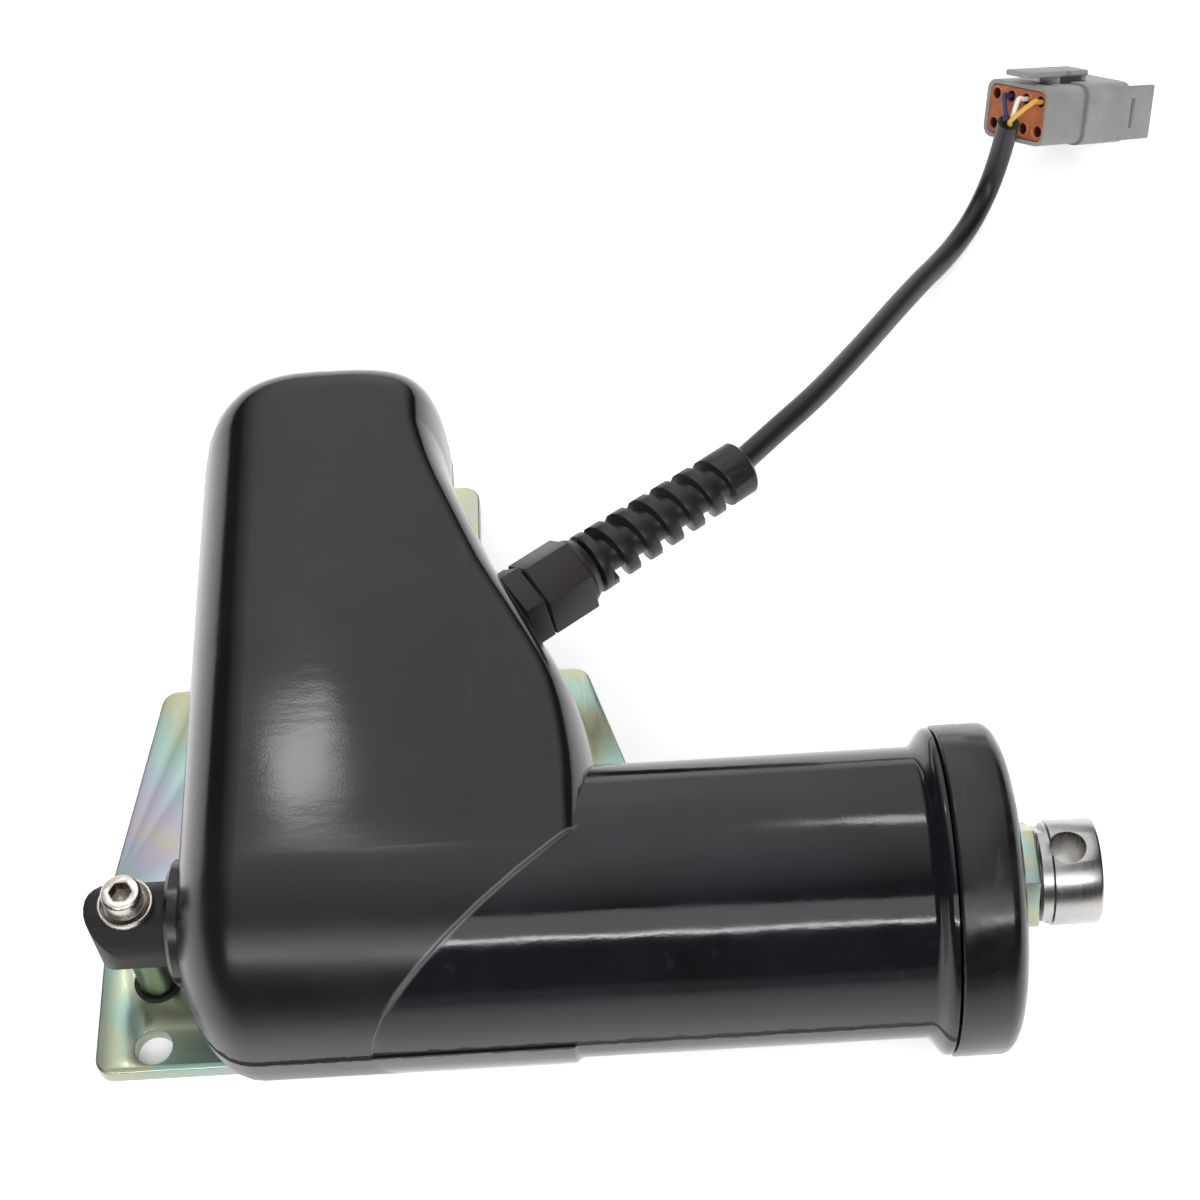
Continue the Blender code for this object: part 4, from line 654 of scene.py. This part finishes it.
def darken(material, mask, colour, amount):
    """Lay a dark colour over a finish where a mask says so."""
    tree = material.node_tree
    shader = tree.nodes["Principled BSDF"]
    base = shader.inputs["Base Color"].links[0].from_socket
    tree.links.new(mix_colour(tree, multiply(tree, mask, amount), base, (*colour, 1)),
                   shader.inputs["Base Color"])


HOLE_SHADE_START = 0.0006
HOLE_SHADE_FULL = 0.0016
tree = materials["seal_orange"].node_tree
x, y, z = plug_measure(tree)
# painted shade: the silicone darkens deeper into each hole
painted_hole_shade = remap(tree, z, HOLE_SHADE_START, HOLE_SHADE_FULL, 0, 1)
darken(materials["seal_orange"], painted_hole_shade, (0.035, 0.008, 0.004), 0.92)

LATCH_WIDTH = 0.0094
LATCH_EDGE = 0.001
LEVER_UNDER = 0.0113
FIRST_SLOT = (0.0060, 0.0100)
SECOND_SLOT = (0.0145, 0.0250)
tree = materials["plug_grey"].node_tree
x, y, z = plug_measure(tree)
# painted shade: the grey housing is darkened under the latch lever, in its two slots
latch_shade_slots = maths(tree, "MAXIMUM", between(tree, z, *FIRST_SLOT), between(tree, z, *SECOND_SLOT))
under = multiply(tree, between(tree, x, -LATCH_WIDTH / 2 - LATCH_EDGE, LATCH_WIDTH / 2 + LATCH_EDGE),
                 between(tree, y, PLUG_HEIGHT / 2 - 0.0006, LEVER_UNDER, 0.0002))
darken(materials["plug_grey"], multiply(tree, latch_shade_slots, under), (0.012, 0.012, 0.012), 0.9)
# painted shade along the groove where the plug's rear part meets its front
painted_groove_shade = between(tree, z, PLUG_REAR_LENGTH - 0.0010, PLUG_REAR_LENGTH + 0.0006, 0.0008)
darken(materials["plug_grey"], painted_groove_shade, (0.06, 0.06, 0.055), 0.55)

SOCKET_RADIUS = 0.0029
tree = materials["bright_steel"].node_tree
parts = separate(tree, object_place(tree))
from_axis = maths(tree, "SQRT", maths(tree, "ADD", maths(tree, "POWER", parts["X"], 2.0),
                                      maths(tree, "POWER", parts["Y"], 2.0)))
# painted shade inside the pivot screw's hex socket
painted_socket_shade = remap(tree, from_axis, SOCKET_RADIUS, SOCKET_RADIUS - 0.0004, 0, 1)
darken(materials["bright_steel"], painted_socket_shade, (0.10, 0.08, 0.06), 0.8)

# %% [markdown]
# The rod end was turned on a lathe: its skin is full of fine rings round the rod's axis, and
# light breaks across them into bands. A noise that changes only along the rod gives the rings,
# and a grain that is stretched across them gives the bands.

# %% Turned steel
AXIS_HEIGHT = 0.0360
material, tree, shader = new_material("turned_steel")
here = add_node(tree, "ShaderNodeMapping", None, {
    "Vector": object_place(tree), "Location": (0, 0, -AXIS_HEIGHT)}).outputs["Vector"]
along = add_node(tree, "ShaderNodeCombineXYZ", None, {"X": separate(tree, here)["X"]})
rings = noise(tree, along.outputs["Vector"], 2600.0, 2.0)
group = use_group(tree, metal_group, {
    "Colour": (0.44, 0.425, 0.415, 1), "Second Colour": (0.56, 0.55, 0.54, 1),
    "Stretch": (1.0, 0.04, 0.04), "Grain Scale": 900.0, "Blotch Scale": 60.0,
    "Low Roughness": 0.20, "High Roughness": 0.36})
tree.links.new(group.outputs["Colour"], shader.inputs["Base Color"])
tree.links.new(group.outputs["Roughness"], shader.inputs["Roughness"])
shader.inputs["Metallic"].default_value = 1.0
shader.inputs["Anisotropic"].default_value = 0.4
add_bump(tree, shader, rings, 0.25, 0.00005)
materials["turned_steel"] = material

# %% [markdown]
# Zinc plate that was dipped in chromate is silvery with a film as thin as an oil slick. Its
# colour wanders between straw, pale green, sky blue and lilac. A slow, warped noise picks from a
# ramp of those colours, and a second one dulls the shine in places. A slope across the plate
# puts the lilac beside the motor and the straw in the front corner, and upright faces, such as
# the plate's sheared edge, are browner.

# %% Group: chromate film
LILAC_Y = 0.042             # across the plate, where the film looks lilac
FILM = ((0.0, (0.60, 0.66, 0.52)), (0.22, (0.66, 0.64, 0.40)), (0.42, (0.46, 0.68, 0.56)),
        (0.58, (0.50, 0.70, 0.68)), (0.72, (0.56, 0.64, 0.76)), (0.86, (0.68, 0.60, 0.74)),
        (1.0, (0.72, 0.68, 0.60)))
EDGE_COLOUR = (0.30, 0.31, 0.24, 1)
film_group, taken, given = new_group("chromate film", [
    ("Scale", "NodeSocketFloat", 14.0), ("Strength", "NodeSocketFloat", 0.8),
], [("Colour", "NodeSocketColor"), ("Roughness", "NodeSocketFloat"), ("Height", "NodeSocketFloat")])
tree = film_group
here = object_place(tree)
slow = noise(tree, here, taken.outputs["Scale"], 3.0, 0.5, 0.6)
parts = separate(tree, here)
from_lilac = maths(tree, "ABSOLUTE", maths(tree, "SUBTRACT", parts["Y"], LILAC_Y))
along_y = remap(tree, from_lilac, 0.005, 0.065, 0.26, -0.24)
along_x = remap(tree, parts["X"], 0.03, 0.11, 0.0, -0.12)
wander = remap(tree, slow, 0.28, 0.72, 0.06, 0.94)
ramp = add_node(tree, "ShaderNodeValToRGB", None, {
    "Fac": maths(tree, "ADD", wander, maths(tree, "ADD", along_y, along_x))})
stops = ramp.color_ramp.elements
for stop_index, (place, colour) in ((0, FILM[0]), (1, FILM[-1])):
    stops[stop_index].position = place
    stops[stop_index].color = (*colour, 1)
for place, colour in FILM[1:-1]:
    stops.new(place).color = (*colour, 1)
tint = mix_colour(tree, taken.outputs["Strength"], (0.70, 0.71, 0.69, 1), ramp.outputs["Color"])
upright = separate(tree, add_node(tree, "ShaderNodeTexCoord").outputs["Normal"])["Z"]
side = remap(tree, maths(tree, "ABSOLUTE", upright), 0.2, 0.8, 1, 0)
tint = mix_colour(tree, multiply(tree, side, 0.7), tint, EDGE_COLOUR)
tree.links.new(tint, given.inputs["Colour"])
streak = noise(tree, add_node(tree, "ShaderNodeMapping", None, {
    "Vector": here, "Scale": (1.0, 0.15, 1.0)}).outputs["Vector"], 900.0, 4.0, 0.7)
dull = noise(tree, here, 30.0, 4.0)
tree.links.new(remap(tree, maths(tree, "ADD", dull, streak), 0.7, 1.3, 0.22, 0.42),
               given.inputs["Roughness"])
tree.links.new(streak, given.inputs["Height"])

# %% Zinc finishes
for name, scale, strength in (("zinc_plate", 27.0, 0.9), ("zinc_hardware", 60.0, 0.9)):
    material, tree, shader = new_material(name)
    group = use_group(tree, film_group, {"Scale": scale, "Strength": strength})
    tree.links.new(group.outputs["Colour"], shader.inputs["Base Color"])
    tree.links.new(group.outputs["Roughness"], shader.inputs["Roughness"])
    shader.inputs["Metallic"].default_value = 1.0
    add_bump(tree, shader, group.outputs["Height"], 0.08, 0.00008)
    materials[name] = material
print("zinc finishes", film_group.name)

# %% [markdown]
# The covers are one black moulding, but not one shine: the motor cover is satin and a little
# blotchy, and the round screw cover in front of the diagonal edge came from a polished part of
# the mould. A mask measured from that edge blends the two. A painted highlight runs along the
# edge, a ragged dark line marks the split of the two halves, and painted reflection lightens the motor
# cover low down.

# %% Cover plastic
DIAGONAL_START = Vector((0.1110, -0.0006))
DIAGONAL_END = Vector((0.0600, -0.0396))
SHOULDER_X = 0.1190
CREST_HIGHLIGHT_FADES_IN = (0.050, 0.058)
CREST_HIGHLIGHT_FADES_OUT = (0.110, 0.114)
CREST_HIGHLIGHT_COLOUR = (0.11, 0.11, 0.11, 1)
LOW_REFLECTION_FADES_IN = (0.052, 0.042)
LOW_REFLECTION_COLOUR = (0.050, 0.050, 0.048, 1)
FRONT_STARTS = (0.006, -0.014)
SPLIT_HEIGHT = 0.0360
SPLIT_LINE_WIDTH = 0.0028
SPLIT_COLOUR = (0.001, 0.001, 0.001, 1)

material, tree, shader = new_material("cover_black")
here = object_place(tree)
parts = separate(tree, here)
way = (DIAGONAL_START - DIAGONAL_END).normalized()
past_x = maths(tree, "SUBTRACT", parts["X"], DIAGONAL_START.x)
past_y = maths(tree, "SUBTRACT", parts["Y"], DIAGONAL_START.y)
from_line = maths(tree, "SUBTRACT", multiply(tree, past_x, way.y), multiply(tree, past_y, way.x))
past_shoulder = maths(tree, "SUBTRACT", parts["X"], SHOULDER_X)
polished = remap(tree, maths(tree, "MAXIMUM", from_line, past_shoulder), -0.0004, 0.0012, 0, 1)
satin = use_group(tree, moulded_group, {
    "Colour": (0.005, 0.005, 0.0052, 1), "Second Colour": (0.0105, 0.010, 0.0098, 1),
    "Blotch Scale": 15.0, "Grain Scale": 1600.0, "Scuff Light": 0.012,
    "Low Roughness": 0.15, "High Roughness": 0.24})
gloss = use_group(tree, moulded_group, {
    "Colour": (0.006, 0.006, 0.007, 1), "Second Colour": (0.011, 0.009, 0.015, 1),
    "Blotch Scale": 40.0, "Grain Scale": 260.0, "Scuff Light": 0.012,
    "Low Roughness": 0.07, "High Roughness": 0.14})
plain = mix_colour(tree, polished, satin.outputs["Colour"], gloss.outputs["Colour"])
off_line = maths(tree, "ABSOLUTE", from_line)
# painted highlight: a thin paler line along the diagonal edge
painted_crest_highlight = multiply(tree, remap(tree, off_line, 0.0001, 0.0006, 1, 0),
                 remap(tree, parts["Z"], *CREST_HIGHLIGHT_FADES_IN, 0, 1))
painted_crest_highlight = multiply(tree, painted_crest_highlight, remap(tree, parts["X"], *CREST_HIGHLIGHT_FADES_OUT, 1, 0))
grain_and_painted_light = mix_colour(tree, painted_crest_highlight, plain, CREST_HIGHLIGHT_COLOUR)
# painted reflection of the pale ground: the motor cover turns lighter towards its bottom
painted_low_reflection = multiply(tree, remap(tree, parts["Z"], *LOW_REFLECTION_FADES_IN, 0, 0.6),
                 maths(tree, "SUBTRACT", 1.0, polished))
grain_and_painted_light = mix_colour(tree, painted_low_reflection, grain_and_painted_light, LOW_REFLECTION_COLOUR)
ragged = multiply(tree, noise(tree, here, 240.0, 4.0), SPLIT_LINE_WIDTH)
off_split = maths(tree, "ABSOLUTE", maths(tree, "SUBTRACT", parts["Z"], SPLIT_HEIGHT))
flash = remap(tree, maths(tree, "SUBTRACT", ragged, off_split), 0.0, 0.0002, 0, 1)
tree.links.new(mix_colour(tree, flash, grain_and_painted_light, SPLIT_COLOUR), shader.inputs["Base Color"])
front = remap(tree, parts["Y"], *FRONT_STARTS, -0.05, 0.10)
duller = maths(tree, "ADD", satin.outputs["Roughness"], front)
rough = mix_value(tree, polished, duller, gloss.outputs["Roughness"])
tree.links.new(maths(tree, "ADD", rough, multiply(tree, flash, 0.5)), shader.inputs["Roughness"])
ripple = noise(tree, add_node(tree, "ShaderNodeMapping", None, {
    "Vector": here, "Scale": (0.35, 1.0, 1.0)}).outputs["Vector"], 70.0, 3.0)
waves = add_bump(tree, shader, ripple, 0.25, 0.0004)
grain_bump = add_bump(tree, shader, satin.outputs["Height"], 0.05, 0.0002)
tree.links.new(waves.outputs["Normal"], grain_bump.inputs["Normal"])
materials["cover_black"] = material
materials["cap_black"] = moulded("cap_black", (0.006, 0.006, 0.007), (0.014, 0.014, 0.014), 0.12, 0.34,
                                 grain=500.0, bump=0.06, scuff=0.04, blotch=70.0)

# %% Give every piece its finish
for node, piece in nodes.items():
    piece.data.materials.clear()
    piece.data.materials.append(materials[slot_of_node[node]])
for node, piece in skins.items():
    piece.data.materials.append(materials[slot_of_node[node]])
cable.data.materials.append(materials["cable_black"])
seal_lips.data.materials.append(materials["seal_orange"])
post_foot_shadow_ring.data.materials.append(materials["eye_black"])
for name, piece in wires.items():
    piece.data.materials.append(materials[name])
print(len(materials), "finishes in use")

# %% [markdown]
# A pale floor takes the shadow. In the photograph the ground is pure white, so the camera sees
# part of the floor's light as a plain glow, and the rest as lit ground with the shadow in it.
# What the black covers mirror is bright only close in front of the part, and dark further out.
# Under the plate's front corner there is no glow, so the hole there looks into shade.

# %% Floor
plate_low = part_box("mounting_plate")[0]
CORNER = 0.030
EDGE = 0.003
MIRRORED_GROUND = (-0.32, -0.07)
PALE = (0.86, 0.86, 0.86, 1)
DARK = (0.10, 0.10, 0.10, 1)
SHADE_X = (plate_low[0] + EDGE, plate_low[0] + CORNER)
SHADE_Y = (plate_low[1] + EDGE, plate_low[1] + CORNER)
bpy.ops.object.select_all(action="DESELECT")
bpy.ops.mesh.primitive_plane_add(size=8.0, location=(0.12, 0.10, -0.0002))
floor = bpy.context.object
floor.name = "floor"
apply_place(floor)
material, tree, shader = new_material("pale_ground")
shader.inputs["Roughness"].default_value = 0.8
shader.inputs["Emission Color"].default_value = (1, 1, 1, 1)
rays = add_node(tree, "ShaderNodeLightPath").outputs
parts = separate(tree, object_place(tree))
close = remap(tree, parts["Y"], *MIRRORED_GROUND, 0.06, 1.0)
glossy = multiply(tree, rays["Is Glossy Ray"], close)
seen = maths(tree, "MAXIMUM", rays["Is Camera Ray"], glossy)
under_plate = multiply(tree, between(tree, parts["X"], *SHADE_X), between(tree, parts["Y"], *SHADE_Y))
lit = maths(tree, "SUBTRACT", 1.0, multiply(tree, under_plate, 0.75))
tree.links.new(multiply(tree, multiply(tree, seen, lit), 0.45), shader.inputs["Emission Strength"])
dark_ground = maths(tree, "SUBTRACT", rays["Is Glossy Ray"], glossy)
tree.links.new(mix_colour(tree, dark_ground, PALE, DARK), shader.inputs["Base Color"])
floor.data.materials.append(material)

# %% [markdown]
# Light: a broad soft box over the part, which no gloss mirrors, a band and a narrow strip in
# front that draw the soft and the bright line along the screw cover, and a small window behind
# that makes the pale patch on the motor cover.

# %% Lamps
def soft_box(name, place, aim, size, size_y, power):
    """A rectangular lamp that faces a point, added to the scene."""
    lamp = bpy.data.lights.new(name, "AREA")
    lamp.shape = "RECTANGLE"
    lamp.size = size
    lamp.size_y = size_y
    lamp.energy = power
    piece = bpy.data.objects.new(name, lamp)
    piece.location = place
    piece.rotation_euler = (Vector(aim) - Vector(place)).to_track_quat("-Z", "Y").to_euler()
    bpy.context.scene.collection.objects.link(piece)
    return piece


MIDDLE = (0.12, 0.0, 0.04)
PATCH_ON_COVER = (0.042, 0.009, 0.074)
overhead = soft_box("overhead", (0.12, -0.62, 1.05), MIDDLE, 1.7, 0.80, 8.5)
overhead.visible_glossy = False
soft_box("front_band", (0.13, -0.80, 0.96), MIDDLE, 1.7, 0.38, 3.8)
soft_box("front_strip", (0.14, -0.92, 0.79), MIDDLE, 1.7, 0.05, 4.5)
soft_box("window", (-0.138, 0.519, 0.924), PATCH_ON_COVER, 0.135, 0.106, 0.36)
print("4 lamps")

# %% [markdown]
# The world is white to the camera. What lights the part fades to dark low in front and to both
# sides, as in a studio with dark walls, and what gloss mirrors fades sooner, so that the front
# of the covers stays black.

# %% World
DIMMEST = 0.02
BRIGHTEST = 1.10
world = bpy.data.worlds.new("studio")
world.use_nodes = True
bpy.context.scene.world = world
tree = world.node_tree
back = tree.nodes["Background"]
rays = add_node(tree, "ShaderNodeLightPath").outputs
direction = separate(tree, add_node(tree, "ShaderNodeTexCoord").outputs["Generated"])
height = maths(tree, "ADD", direction["Z"], multiply(tree, direction["Y"], 0.8))
aside = maths(tree, "ABSOLUTE", direction["X"])
height = maths(tree, "SUBTRACT", height, multiply(tree, aside, 0.9))
lighting = remap(tree, height, -0.05, 0.75, DIMMEST, BRIGHTEST)
mirrored = remap(tree, height, 0.30, 1.05, DIMMEST, BRIGHTEST)
around = mix_value(tree, rays["Is Glossy Ray"], lighting, mirrored)
camera_or_glass = maths(tree, "MAXIMUM", rays["Is Camera Ray"], rays["Is Transmission Ray"])
strength = maths(tree, "MAXIMUM", around, camera_or_glass)
tree.links.new(strength, back.inputs["Strength"])
back.inputs["Color"].default_value = (1, 1, 1, 1)

bpy.context.scene.view_settings.view_transform = "Standard"
print("world", world.name)
